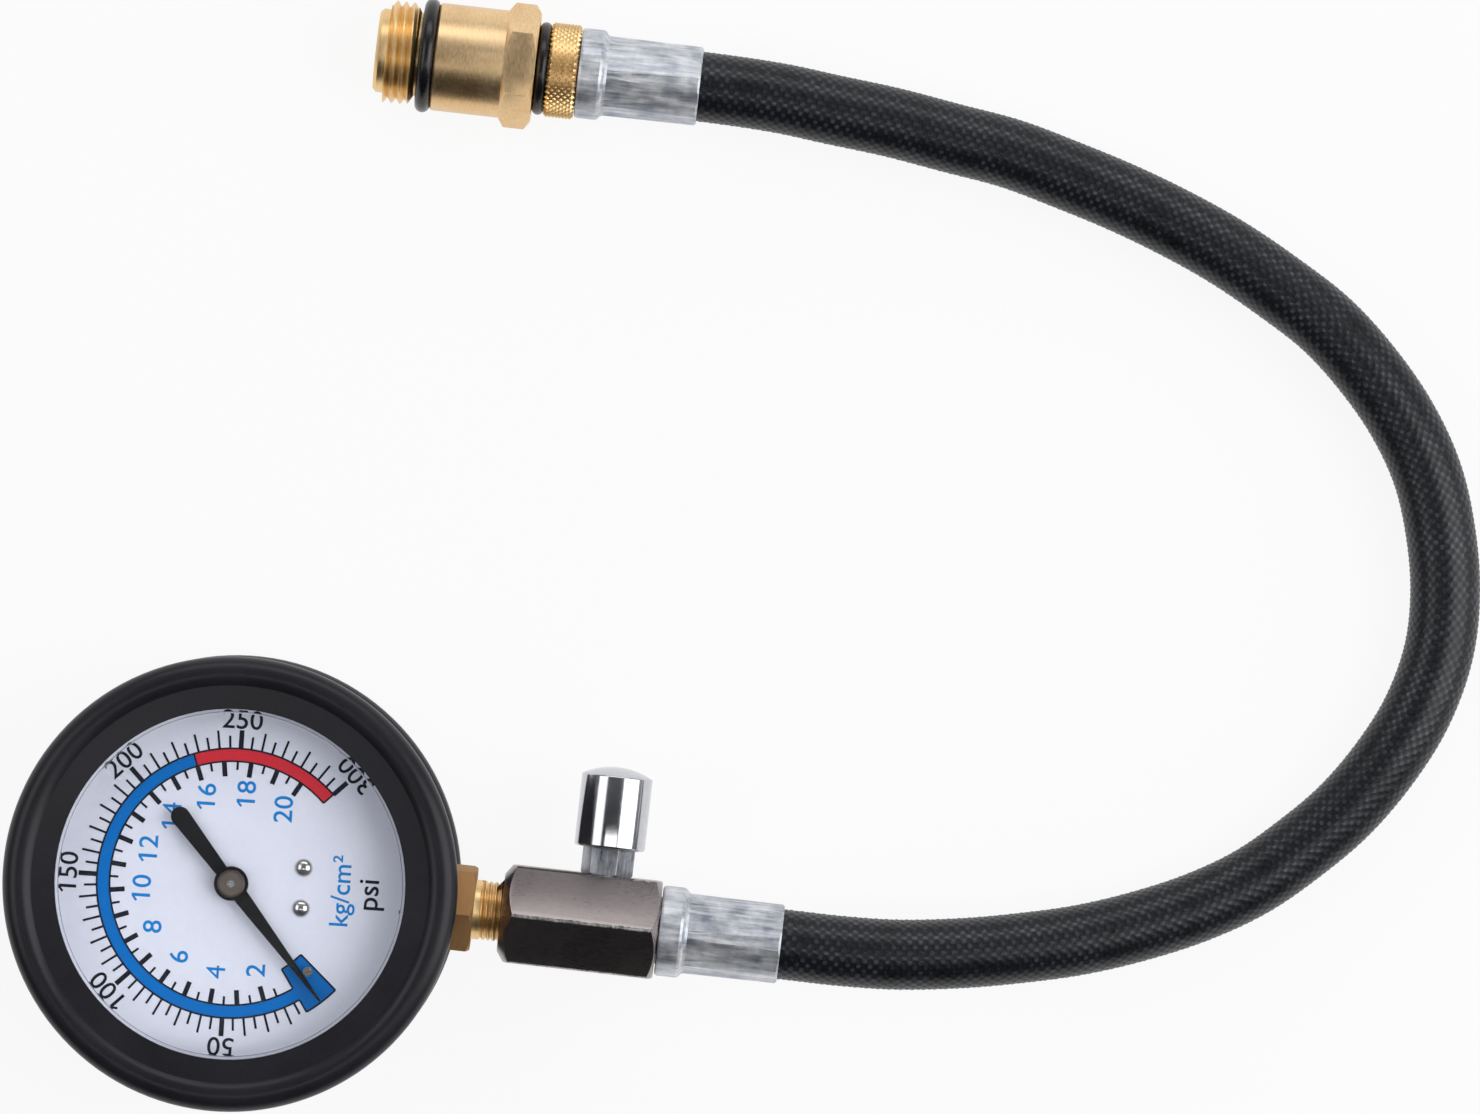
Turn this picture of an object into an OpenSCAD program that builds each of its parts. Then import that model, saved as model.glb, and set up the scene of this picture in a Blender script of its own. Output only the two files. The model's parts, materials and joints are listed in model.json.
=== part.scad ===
// Compression tester gauge: a dial gauge in a rubber boot on a hexagonal valve block with a push
// release valve, and a flexible hose that ends in a spark plug thread adapter.
// The origin is the middle of the boot's back. The stem runs along +X and the dial faces +Z.

/* [Boot] */
// Thickness of the boot's side wall
boot_wall = 3.1; // [2.4:0.1:4]
// Thickness of the boot's back
boot_back = 2.5; // [1.6:0.1:4]
// Diameter of the opening in the boot's back
boot_back_opening = 48; // [30:1:54]
// How far the round beads stand out from the side wall
bead_proud = 3.3; // [2:0.1:4]
// Diameter of the round beads
bead_d = 5.8; // [4.8:0.1:6.6]
// Diameter of the opening in the front lip
lip_opening = 60.8; // [56:0.2:61.6]
// Thickness of the front lip at its inner edge
lip_t = 1.2; // [0.8:0.1:2]
// Rise of the lip's slope from its inner to its outer edge
lip_rise = 0.9; // [0.4:0.1:1.2]

/* [Case and window] */
// Outer diameter of the pressed steel case
case_d = 66; // [65:0.5:70]
// Thickness of the case's sheet
case_wall = 0.8; // [0.5:0.1:1.2]
// Radius of the bend between the case's side and its back
case_bend = 3; // [1.5:0.5:5]
// Thickness of the clear window
window_t = 1.8; // [1.4:0.1:2.5]
// Thickness of the part of the window that lies over the case's rim
window_rim_t = 1.2; // [0.8:0.1:1.3]
// Thickness of the window's skirt
skirt_t = 1.1; // [0.8:0.1:1.4]
// Free height between the pointer's hub and the window
window_clear = 1.4; // [0.8:0.1:3]

/* [Dial] */
// Thickness of the dial plate
dial_t = 0.6; // [0.4:0.1:1]
// Degrees that the dial is turned against the stem
dial_turn = 2.5; // [-4:0.5:4]
// Degrees from the scale's zero to its last mark
scale_sweep = 270; // [255:5:275]
// Height of the dial above the movement's front plate
dial_spacer = 2.9; // [2:0.1:5]
// Distance of the dial screws from the middle
dial_screw_r = 12.8; // [12.4:0.1:13.2]
// Degrees of each dial screw from the line down the dial
dial_screw_angle = 16; // [14:1:18]
// Diameter of the dial screws' heads
dial_screw_head = 3.2; // [2.8:0.1:3.6]
// Diameter of the dial screws' shanks
dial_screw_d = 1.6; // [1.2:0.1:1.8]
// Distance of the stop pin from the middle
stop_pin_r = 20.3; // [18:0.1:22]
// Diameter of the stop pin
stop_pin_d = 1.7; // [1:0.1:2]

/* [Pointer] */
// Distance of the pointer's tip from the middle
pointer_tip = 25.6; // [23:0.2:28]
// Length of the pointer's tail
pointer_tail = 16.3; // [10:0.1:20]
// Width of the pointer's tail at its end
pointer_tail_w = 3.3; // [2:0.1:4]
// Width of the pointer's blade at the hub
pointer_root_w = 2.7; // [1.6:0.1:3]
// Width of the pointer's blade at its tip
pointer_tip_w = 0.4; // [0.2:0.1:0.8]
// Thickness of the pointer
pointer_t = 0.5; // [0.3:0.1:0.7]
// Height of the pointer above the dial
pointer_lift = 1.5; // [1.3:0.1:2]
// Diameter of the disc in the middle of the pointer
hub_d = 6; // [5:0.1:7]
// Diameter of the steel cap on the pointer
cap_d = 4.8; // [4:0.1:5.4]
// Height of the steel cap on the pointer
cap_h = 1.5; // [0.8:0.1:2]

/* [Movement] */
// Module of the movement's gears
gear_module = 0.2; // [0.18:0.01:0.21]
// Teeth of the pinion
pinion_teeth = 12; // [12:1:14]
// Turns of the pinion for one turn of the sector
gear_ratio = 9; // [8:1:9]
// Degrees from the stem's line to the sector's pivot
sector_side = 83; // [78:1:88]
// Length of the sector's tail
tail_len = 6; // [5:0.1:6.4]
// Direction of the sector's tail half way through its travel
tail_dir = 50; // [44:1:56]
// Distance between the link's holes
link_len = 7; // [6:0.1:8]
// Thickness of the movement's plates
plate_t = 1; // [0.8:0.1:1.2]
// Free height between the movement's plates
plate_gap = 9; // [8.6:0.1:10]
// Diameter of the pinion arbor between the plates
arbor_d = 1.8; // [1.6:0.1:2]
// Diameter of the pinion arbor's pivots
pivot_d = 1.2; // [1:0.1:1.4]
// Running clearance of the pivots, on the radius
pivot_clear = 0.03; // [0.02:0.01:0.05]

/* [Pressure tube] */
// Radius of the tube's centre line
tube_r = 22; // [21.5:0.1:23]
// Width of the tube's oval across the bend
tube_w = 3.2; // [2.6:0.1:3.6]
// Height of the tube's oval
tube_h = 9; // [7:0.1:9]
// Thickness of the tube's wall
tube_wall = 0.45; // [0.3:0.05:0.6]

/* [Stem] */
// Height of the stem's axis above the boot's back
stem_z = 16; // [15:0.5:18]
// Width of the socket block inside the case
socket_w = 15; // [14:0.5:16]
// Width of the stem's hexagon across its flats
stem_af = 14; // [13:0.5:14.5]
// Degrees that the stem's hexagon is turned
stem_hex_turn = 7; // [0:1:30]
// Length of the stem's hexagon that shows past the boot
stem_hex_show = 2.7; // [1:0.1:6]
// Length of the stem's thread that shows before the block
stem_neck_show = 4.8; // [2:0.1:8]
// Diameter of the stem's thread
stem_thread_d = 10.4; // [10:0.1:11]
// Length of the stem's thread inside the block
stem_thread_in = 9; // [7:0.5:9.5]
// Diameter of the air passage through the stem
stem_bore = 3; // [2:0.1:3.4]

/* [Valve block] */
// Width of the block across its flats
block_af = 17; // [16.5:0.5:19]
// Length of the block
block_len = 27.5; // [27:0.1:32]
// Chamfer on the block's end at the gauge
block_chamfer = 2.95; // [1.5:0.05:3.2]
// Chamfer on the block's end at the hose
block_end_chamfer = 1.6; // [0.8:0.1:2]
// Diameter of the air passage through the block
passage_d = 4; // [3:0.1:4.4]

/* [Release valve] */
// Distance of the release valve from the block's end at the gauge
release_at = 17.5; // [16.5:0.1:17.6]
// Width of the valve body's hexagon across its flats
release_af = 8; // [7:0.1:8.2]
// Length of the valve body's hexagon that shows under the cap
release_show = 4.7; // [3.6:0.1:7]
// Travel of the cap
release_travel = 2; // [1:0.1:2.2]
// Diameter of the valve body's thread
release_thread_d = 7; // [6.4:0.1:7]
// Diameter of the cap
button_d = 12.4; // [12:0.1:14]
// Height of the cap's straight side
button_h = 12.7; // [12.2:0.1:15]
// Height of the cap's domed top
button_dome = 1.6; // [1:0.1:2]
// Diameter of the valve's pin
release_pin_d = 2.5; // [2:0.1:2.6]
// Diameter of the wire of the release spring
release_wire = 0.6; // [0.4:0.05:0.7]

/* [Hose] */
// Outer diameter of the hose
hose_d = 12.4; // [11.6:0.1:12.4]
// Inner diameter of the hose
hose_bore = 7; // [6.8:0.1:7.4]
// Length of each crimped ferrule
ferrule_len = 21.4; // [20:0.1:24]
// Diameter of the ferrule's flared end
ferrule_flare_d = 15.8; // [15:0.1:17]
// Length of the ferrule's flared end
ferrule_flare_len = 4.6; // [3:0.1:6]
// Diameter of the ferrule where it is crimped
ferrule_crimp_d = 14; // [13.7:0.1:14.6]
// Gap between the ferrule and what it is fixed to
ferrule_gap = 0.2; // [0.2:0.1:1.5]
// Flats pressed into the ferrule
crimp_flats = 8; // [6:1:10]

/* [Spark plug adapter] */
// Diameter of the adapter's outer thread
plug_thread_d = 17.9; // [17.6:0.1:18]
// Length of the adapter's outer thread
plug_thread_len = 4.4; // [3:0.1:12]
// Diameter of the plain pilot before the thread
pilot_d = 14.7; // [14:0.1:16]
// Length of the plain pilot
pilot_len = 1.9; // [1:0.1:4]
// Outer diameter of the adapter's sealing ring
o_ring_d = 20; // [19.6:0.1:21]
// Section of the adapter's sealing ring
o_ring_section = 2.65; // [2.2:0.05:3]
// Diameter of the adapter's body
adapter_body_d = 18.9; // [18:0.1:19]
// Length of the adapter's body
adapter_body_len = 12.1; // [11:0.1:16]
// Width of the adapter's hexagon across its flats
adapter_af = 19; // [18.5:0.1:19.2]
// Length of the adapter's hexagon
adapter_hex_len = 5.6; // [4:0.1:8]
// Diameter of the thread between the hose fitting and the adapter
joint_thread_d = 13.8; // [13.4:0.1:14]
// Section of the ring between the collar and the adapter
seal_section = 2.1; // [1.8:0.1:2.4]
// Outer diameter of the ring between the collar and the adapter
seal_d = 16.3; // [16.2:0.1:17]
// Diameter of the gripping collar under its knurl
collar_d = 16.1; // [15.6:0.1:18]
// Length of the gripping collar
collar_len = 5.1; // [4:0.1:8]
// Diameter of the air passage through the hose fittings
fitting_bore = 3.2; // [2.4:0.1:3.4]

/* [Check valve] */
// Diameter of the check valve's core
core_d = 5.2; // [4.8:0.1:6]
// Length of the check valve's core
core_len = 8.8; // [8:0.1:10]
// Travel of the check valve's pin
check_travel = 1; // [0.6:0.1:1.4]
// Diameter of the check valve's pin
check_pin_d = 1.1; // [0.9:0.1:1.2]
// Diameter of the wire of the check spring
check_wire = 0.25; // [0.15:0.05:0.3]

/* [Hidden] */
$fn = 64;

// Clearances that every fit shares
thread_fit = 0.05;
slide_fit = 0.1;
seat_fit = 0.05;
// Amount that a cut runs past the face it opens
cut = 1;
// Length of a hexagon's chamfer for each millimetre of its depth
chamfer_slope = 0.72;

// Case, boot and socket
case_r = case_d / 2;
case_ir = case_r - case_wall;
case_floor = boot_back + case_wall;
boot_ir = case_r + slide_fit;
boot_wall_r = boot_ir + boot_wall;
boot_r = boot_wall_r + bead_proud;
socket_x0 = 17;
socket_clear = 0.3;
hex_clear = 0.3;
floor_r = case_ir - (case_bend - case_wall);
socket_x1 = sqrt(pow(floor_r - socket_clear, 2) - pow(socket_w / 2, 2));
socket_top = stem_z + 6.5;
neck_d = stem_af - 1;

// Heights of the movement, from the stem's axis up
back_plate_z = stem_z - plate_gap / 2 - plate_t;
front_plate_z = stem_z + plate_gap / 2;
dial_z = front_plate_z + plate_t + dial_spacer;
dial_top = dial_z + dial_t;
pointer_z = dial_top + pointer_lift;
cap_z = pointer_z + pointer_t;
window_z = cap_z + cap_h + window_clear;
window_top = window_z + window_t;
case_top = window_top - window_rim_t;
window_ir = case_ir - seat_fit - skirt_t;
dial_gap = 0.4;
dial_r = case_ir - dial_gap;
lip_z = window_top + seat_fit;
bead_drop = 0.2;
bead_z = lip_z - bead_drop;

// Pointer at rest, with its blade against the stop pin
zero_angle = 315 + dial_turn;
stop_gap = 0.1;
blade_at_stop = pointer_tip_w
    + (pointer_root_w - pointer_tip_w) * (pointer_tip - stop_pin_r) / (pointer_tip - hub_d / 2);
rest_offset = asin((stop_pin_d / 2 + blade_at_stop / 2 + stop_gap) / stop_pin_r);
pointer_rest = zero_angle - rest_offset;
pointer_travel = scale_sweep - rest_offset;
sector_travel = pointer_travel / gear_ratio;

// Gears
pressure_angle = 20;
flank_steps = 4;
tooth_thin = 0.03;
pinion_pitch_r = gear_module * pinion_teeth / 2;
sector_pitch_r = pinion_pitch_r * gear_ratio;
sector_whole_teeth = pinion_teeth * gear_ratio;
tooth_pitch = 360 / sector_whole_teeth;
spare_teeth = 2;
sector_pivot = (pinion_pitch_r + sector_pitch_r) * [cos(sector_side), sin(sector_side)];
sector_t = 1.2;
sector_z = stem_z - 2.6;
pinion_z = sector_z - 0.8;
pinion_h = sector_t + 1.6;
sector_hub_d = 5;
sector_arbor_d = 1.6;
sector_pivot_d = 1;

// Linkage from the tube's tip to the sector's tail, drawn at rest
link_pin_d = 1.2;
link_t = 0.8;
link_end_d = 3;
link_bar_w = 1.6;
link_gap = 0.1;
link_z = sector_z + sector_t + link_gap;
open_pivot_clear = 0.2;
tail_rest = tail_dir - sector_travel / 2;
tail_out = [cos(tail_dir), sin(tail_dir)];
tail_pin = sector_pivot + tail_len * [cos(tail_rest), sin(tail_rest)];
pull_dir = [-sin(tail_dir), cos(tail_dir)];
link_end = tail_pin - link_len * pull_dir;
arc_rise = tail_len * (1 - cos(sector_travel / 2));
tip_pin_at = link_end + arc_rise / 2 * tail_out;
tip_pin_angle = atan2(tip_pin_at[1], tip_pin_at[0]);
tip_pin_r = norm(tip_pin_at);
ear_z = link_z + link_t + link_gap;
ear_t = 1.2;

// Pressure tube
tube_start = -12;
tube_end = tip_pin_angle + 13;
tip_last = tip_pin_angle - 5;
tip_h = tube_h - 2;

// Plates of the movement
plate_margin = 2.6;
pillar_d = 3;
tenon_d = 1.8;
pillar_places = [[-6, -6], [12.5, -6.2], [12.5, 6.2], [-6, 11]];
plate_corner = 2.5;
plate_low = [pillar_places[0][0] - plate_margin, pillar_places[1][1] - plate_margin];
plate_high = [socket_x0 - 0.3, sector_pivot[1] + plate_margin];
ledge_x0 = 11;
ledge_t = 4;
frame_screw_places = [[14.2, -2.6], [14.2, 2.6]];
frame_screw_d = 1.8;
frame_screw_head = 3;
frame_screw_head_h = 1;
frame_screw_in = 3;
case_screw_d = 3;
case_screw_head = 5.4;
case_screw_head_h = 1.4;
case_screw_in = 4;
case_screw_edge = case_screw_head / 2 + 0.5;
case_screw_places = [for (side = [-1, 1])
    [boot_back_opening / 2 - case_screw_edge, side * (socket_w / 2 - case_screw_edge)]];

// Hairspring
collet_d = 2.8;
collet_h = 1.2;
hairspring_z = front_plate_z - 2.6;
hairspring_h = 0.6;
hairspring_t = 0.16;
hairspring_turns = 4;
hairspring_out = 5.2;
stud_d = 1;

// Stem and block along X
stem_hex_x0 = case_r + hex_clear;
stem_hex_x1 = boot_r + stem_hex_show;
stem_hole_d = stem_af / cos(30) + 1;
block_x0 = stem_hex_x1 + stem_neck_show;
block_x1 = block_x0 + block_len;
stem_x1 = block_x0 + stem_thread_in;
nipple_thread_d = 9.6;
nipple_thread_len = 5.8;
ferrule_x0 = block_x1 + ferrule_gap;
ferrule_x1 = ferrule_x0 + ferrule_len;

// Release valve along Y, from the block's axis
release_x = block_x0 + release_at;
flat_y = block_af / 2;
thread_end_y = 3;
button_y = flat_y + release_show;
button_roof = 1.9;
roof_y = button_y + button_h - button_roof;
guide_y = button_y + release_travel;
guide_h = 2.5;
button_wall = 1.2;
guide_d = button_d - 2 * button_wall;
spring_seat_drop = 1.2;
spring_seat_y = button_y - spring_seat_drop;
spring_room_d = 6.4;
spring_mean_r = 2.5;
poppet_d = 5.2;
poppet_h = 1.2;
release_seal_h = 0.8;
poppet_y = thread_end_y - release_seal_h - poppet_h;
poppet_room = 0.8;
release_hole_y = poppet_y - release_travel - poppet_room;
pin_grip = 1;

// Hose ends and fittings
hose_r = hose_d / 2;
ferrule_bore = hose_d + 2 * seat_fit;
ferrule_hook = 1.4;
hook_d = 11;
hose_seat = ferrule_hook + 0.3;
barb_d = 6.2;
barb_count = 4;
barb_len = ferrule_len - hose_seat - 1.5;
tail_core_d = barb_d - 0.8;
flange_d = ferrule_flare_d - 4;

// Spark plug adapter along X, from its tip
tip_x = 8.2;
end_y = 147.4;
end_z = o_ring_d / 2;
thread_t = pilot_len;
groove_t = thread_t + plug_thread_len;
groove_len = o_ring_section + 1.35;
groove_d = o_ring_d - 2 * o_ring_section - 2 * seat_fit;
body_t = groove_t + groove_len;
hex_t = body_t + adapter_body_len;
adapter_end_t = hex_t + adapter_hex_len;
collar_t = adapter_end_t + seal_section + 2 * seat_fit;
end_ferrule_t = collar_t + collar_len + ferrule_gap;
end_ferrule_x1 = tip_x + end_ferrule_t + ferrule_len;
joint_thread_len = 15;
joint_bore_gap = 1;
joint_thread_t = adapter_end_t - joint_thread_len;
joint_bore_t = joint_thread_t - joint_bore_gap;
seal_neck_d = seal_d - 2 * seal_section - 2 * seat_fit;
adapter_bore = 4;

// Check valve along X, from the adapter's tip
core_t = joint_thread_t + 0.2;
core_end_t = core_t + core_len;
bridge_len = 1;
bridge_t = core_end_t - 3;
core_bore = core_d - 2;
pin_head_d = 2;
pin_head_len = 0.6;
check_poppet_d = core_d - 1.2;
check_poppet_len = 0.8;
check_seal_len = 0.75;
check_seat_gap = 0.02;
check_seal_t = core_end_t + check_seat_gap;
check_poppet_t = check_seal_t + check_seal_len;
pin_head_t = core_t + 0.4;
core_room_t = check_poppet_t + check_poppet_len + check_travel + 0.8;

// Middle of the hose: it comes down from the block to the surface, turns round and runs back
hose_sides = 12;
hose_route = [
    [107, 0, 15.8], [117, 0.5, 15.2], [128, 2, 14.2], [138, 4, 12.9], [148, 6.5, 11.5],
    [158, 10, 10], [168, 14.5, 8.6], [177, 20, 7.4], [185, 27, 6.6], [192, 34.5, 6.3],
    [198, 43.5, 6.3], [202.5, 53, 6.3], [205, 63.5, 6.3], [205, 74, 6.3], [203, 84.5, 6.3],
    [199.5, 94.5, 6.3], [194, 103.5, 6.3], [187, 111.5, 6.3], [179, 118.5, 6.3], [170, 124, 6.3],
    [160.5, 129, 6.3], [151, 133, 6.3], [141, 136.5, 6.3], [130.5, 139.5, 6.4], [120.5, 142, 6.8],
    [110, 143.5, 7.5], [99.5, 145, 8.3], [89, 146, 9.2], [78.5, 147, 9.8]
];
hose_points = concat(
    [[ferrule_x0 + hose_seat, 0, stem_z], [ferrule_x1, 0, stem_z]],
    hose_route,
    [[end_ferrule_x1, end_y, end_z], [tip_x + end_ferrule_t + hose_seat, end_y, end_z]]
);

// Puts a shape that stands on Z along X, from a point
module along_x(at) {
    translate(at) rotate([0, 90, 0]) children();
}

// Puts a shape that stands on Z along Y, from a point
module along_y(at) {
    translate(at) rotate([-90, 0, 0]) children();
}

// Puts a shape on the spark plug adapter's axis, a distance from its tip
module on_adapter(t) {
    along_x([tip_x + t, end_y, end_z]) children();
}

// Puts a shape on the release valve's axis, a distance from the block's axis
module on_release(y) {
    along_y([release_x, y, stem_z]) children();
}

// Outline in the dial's plane, turned with the dial
module dial_holes(d) {
    for (side = [-1, 1])
        rotate(dial_turn + side * dial_screw_angle)
            translate([dial_screw_r, 0])
                circle(d = d);
}

// Hexagonal bar with both end faces turned down to a chamfer
module hex_bar(af, len, chamfer_0, chamfer_1) {
    corner_r = af / cos(30) / 2;
    intersection() {
        cylinder(r = corner_r, h = len, $fn = 6);
        rotate_extrude()
            polygon([
                [0, 0], [corner_r - chamfer_0, 0], [corner_r, chamfer_0 * chamfer_slope],
                [corner_r, len - chamfer_1 * chamfer_slope], [corner_r - chamfer_1, len], [0, len]
            ]);
    }
}

// Section of a pressed cup with a round bend at its bottom
module cup_section(r, h, bend) {
    square([r - bend, h]);
    translate([0, bend]) square([r, h - bend]);
    translate([r - bend, bend]) circle(r = bend);
}

// Rectangle with round corners between two corner points
module round_plate(low, high, r) {
    translate([low[0] + r, low[1]]) square([high[0] - low[0] - 2 * r, high[1] - low[1]]);
    translate([low[0], low[1] + r]) square([high[0] - low[0], high[1] - low[1] - 2 * r]);
    for (x = [low[0] + r, high[0] - r])
        for (y = [low[1] + r, high[1] - r])
            translate([x, y]) circle(r = r);
}

// Oval section of the pressure tube, grown on all sides
module tube_oval(grow) {
    w = tube_w + 2 * grow;
    straight = tube_h - tube_w;
    translate([-w / 2, -straight / 2]) square([w, straight]);
    for (side = [-1, 1])
        translate([0, side * straight / 2]) circle(d = w);
}

// Ring of wall with the tube's oval section, between two angles
module tube_arc(from, to, grow) {
    translate([0, 0, stem_z])
        rotate(from)
            rotate_extrude(angle = to - from)
                translate([tube_r, 0]) tube_oval(grow);
}

// Involute teeth
function involute(a) = tan(a) * 180 / PI - a;
function half_tooth(r, pitch_r, teeth) =
    90 / teeth - tooth_thin / 2 / pitch_r * 180 / PI + involute(pressure_angle)
    - involute(acos(min(1, pitch_r * cos(pressure_angle) / r)));
function tooth_flank(root_r, tip_r, pitch_r, teeth) =
    let (base_r = max(root_r, pitch_r * cos(pressure_angle)))
    concat(
        [[root_r, half_tooth(base_r, pitch_r, teeth)]],
        [for (k = [0:flank_steps])
            let (r = base_r + (tip_r - base_r) * k / flank_steps)
            [r, half_tooth(r, pitch_r, teeth)]]
    );
function at_angle(r, a) = [r * cos(a), r * sin(a)];
function tooth_points(flank, mid) = concat(
    [for (p = flank) at_angle(p[0], mid - p[1])],
    [for (k = [len(flank) - 1:-1:0]) at_angle(flank[k][0], mid + flank[k][1])]
);

// Tube swept along points that stay near a level plane
function unit(v) = v / norm(v);
function way(points, i) =
    unit(points[min(i + 1, len(points) - 1)] - points[max(i - 1, 0)]);
function ring(at, dir, r, sides) =
    let (side = unit(cross([0, 0, 1], dir)), up = cross(dir, side))
    [for (j = [0:sides - 1]) at + r * cos(j * 360 / sides) * side + r * sin(j * 360 / sides) * up];
function tube_rings(points, r, sides) =
    [for (i = [0:len(points) - 1]) each ring(points[i], way(points, i), r, sides)];
function skin(first, rings, sides, flip) =
    [for (i = [0:rings - 2])
        for (j = [0:sides - 1])
            let (a = first + i * sides + j)
            let (b = first + i * sides + (j + 1) % sides)
            each flip
                ? [[a, b, b + sides], [a, b + sides, a + sides]]
                : [[a, b + sides, b], [a, a + sides, b + sides]]];
function collar_faces(outer, inner, sides, flip) =
    [for (j = [0:sides - 1])
        let (k = (j + 1) % sides)
        each flip
            ? [[outer + j, inner + k, outer + k], [outer + j, inner + j, inner + k]]
            : [[outer + j, outer + k, inner + k], [outer + j, inner + k, inner + j]]];

module hollow_sweep(points, outer_r, inner_r, sides) {
    rings = len(points);
    inner = rings * sides;
    last = (rings - 1) * sides;
    polyhedron(
        concat(tube_rings(points, outer_r, sides), tube_rings(points, inner_r, sides)),
        concat(
            skin(0, rings, sides, false),
            skin(inner, rings, sides, true),
            collar_faces(0, inner, sides, false),
            collar_faces(last, inner + last, sides, true)
        )
    );
}

// Coil spring that stands on Z
module coil_spring(mean_r, wire, len, turns) {
    steps = 14;
    sides = 6;
    count = turns * steps;
    rise = len - wire;
    points = [for (i = [0:count])
        for (j = [0:sides - 1])
            let (r = mean_r + wire / 2 * cos(j * 360 / sides))
            let (z = wire / 2 + rise * i / count + wire / 2 * sin(j * 360 / sides))
            [r * cos(i * 360 / steps), r * sin(i * 360 / steps), z]];
    last = count * sides;
    polyhedron(
        points,
        concat(
            [[for (j = [sides - 1:-1:0]) j]],
            skin(0, count + 1, sides, true),
            [[for (j = [0:sides - 1]) last + j]]
        )
    );
}

// Screw with a domed head on top of Z = 0 and its shank below
module dome_screw(head_d, head_h, shank_d, shank_len) {
    dome_r = (pow(head_d / 2, 2) + pow(head_h, 2)) / (2 * head_h);
    intersection() {
        cylinder(d = head_d, h = head_h + cut);
        translate([0, 0, head_h - dome_r]) sphere(r = dome_r);
    }
    translate([0, 0, -shank_len]) cylinder(d = shank_d, h = shank_len + head_h / 2);
}

// Sealing ring that lies around Z
module seal_ring(outer_d, section) {
    rotate_extrude()
        translate([outer_d / 2 - section / 2, 0]) circle(d = section);
}

// Barbed tail that goes into the hose, from the ferrule's end face along Z
module barbed_tail() {
    barb = barb_len / barb_count;
    cylinder(d = hook_d - 2 * seat_fit, h = hose_seat);
    cylinder(d = tail_core_d, h = hose_seat + barb_len);
    for (k = [0:barb_count - 1])
        translate([0, 0, hose_seat + k * barb]) cylinder(d1 = barb_d, d2 = tail_core_d, h = barb);
}

// Ferrule from its flared end along Z, with flats crimped round the hose
module ferrule() {
    flare_r = ferrule_flare_d / 2;
    crimp_r = ferrule_crimp_d / 2;
    edge = 0.5;
    edge_mid = 0.15;
    mouth_edge = 0.35;
    mouth_taper = 0.1;
    step = 0.9;
    step_top = 0.2;
    step_foot = 0.15;
    flat_depth = 0.28;
    flat_w = 2 * crimp_r;
    difference() {
        rotate_extrude()
            polygon([
                [hook_d / 2, 0], [flare_r - edge, 0], [flare_r - edge_mid, edge_mid], [flare_r, edge],
                [flare_r, ferrule_flare_len - step], [flare_r - step_top, ferrule_flare_len - step / 2],
                [crimp_r + step_foot, ferrule_flare_len], [crimp_r, ferrule_flare_len + step / 2],
                [crimp_r - mouth_taper, ferrule_len - mouth_edge], [crimp_r - mouth_edge, ferrule_len],
                [ferrule_bore / 2, ferrule_len], [ferrule_bore / 2, ferrule_hook],
                [hook_d / 2, ferrule_hook]
            ]);
        for (k = [0:crimp_flats - 1])
            rotate((k + 0.5) * 360 / crimp_flats)
                translate([crimp_r - flat_depth, -flat_w / 2, ferrule_flare_len + step / 2])
                    cube([crimp_r, flat_w, ferrule_len]);
    }
}

module rubber_boot() {
    low_bead_z = bead_d / 2 + 0.7;
    lip_out = boot_r - bead_d / 2;
    lip_top = lip_z + lip_t;
    color([0.16, 0.16, 0.17])
        difference() {
            rotate_extrude()
                difference() {
                    union() {
                        translate([boot_back_opening / 2, 0])
                            square([boot_wall_r - boot_back_opening / 2, boot_back]);
                        square([boot_wall_r, bead_z]);
                        translate([boot_r - bead_d / 2, low_bead_z]) circle(d = bead_d);
                        translate([boot_r - bead_d / 2, bead_z]) circle(d = bead_d);
                        polygon([
                            [lip_opening / 2, lip_z], [lip_out, lip_z - cut],
                            [lip_out, lip_top + lip_rise], [lip_opening / 2, lip_top]
                        ]);
                    }
                    square([boot_back_opening / 2, boot_back + cut]);
                    translate([0, boot_back]) square([boot_ir, lip_z - boot_back]);
                    square([lip_opening / 2, lip_top + lip_rise]);
                }
            along_x([case_r - cut, 0, stem_z]) cylinder(d = stem_hole_d, h = boot_r);
        }
}

module gauge_case() {
    color([0.72, 0.73, 0.75])
        difference() {
            translate([0, 0, boot_back])
                rotate_extrude()
                    difference() {
                        cup_section(case_r, case_top - boot_back, case_bend);
                        translate([0, case_wall])
                            cup_section(case_ir, case_top - boot_back, case_bend - case_wall);
                    }
            along_x([case_ir - 2 * cut, 0, stem_z])
                cylinder(d = neck_d + 2 * slide_fit, h = case_wall + 4 * cut);
            for (place = case_screw_places)
                translate([place[0], place[1], boot_back - cut])
                    cylinder(d = case_screw_d + 2 * slide_fit, h = case_wall + 2 * cut);
        }
}

module case_screws() {
    color([0.62, 0.63, 0.65])
        for (place = case_screw_places)
            translate([place[0], place[1], boot_back])
                mirror([0, 0, 1])
                    dome_screw(case_screw_head, case_screw_head_h, case_screw_d,
                        case_wall + case_screw_in);
}

module window() {
    line_inset = 0.6;
    line_w = 0.3;
    skirt_z = dial_top + seat_fit;
    color([0.9, 0.95, 1, 0.3])
        rotate_extrude()
            difference() {
                union() {
                    translate([0, window_z]) square([case_ir - seat_fit, window_t]);
                    translate([0, case_top]) square([case_r, window_rim_t]);
                    translate([window_ir, skirt_z]) square([skirt_t, window_z - skirt_z]);
                }
                translate([lip_opening / 2 - line_inset, window_top])
                    rotate(45) square(line_w / sqrt(2), center = true);
            }
}

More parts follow.
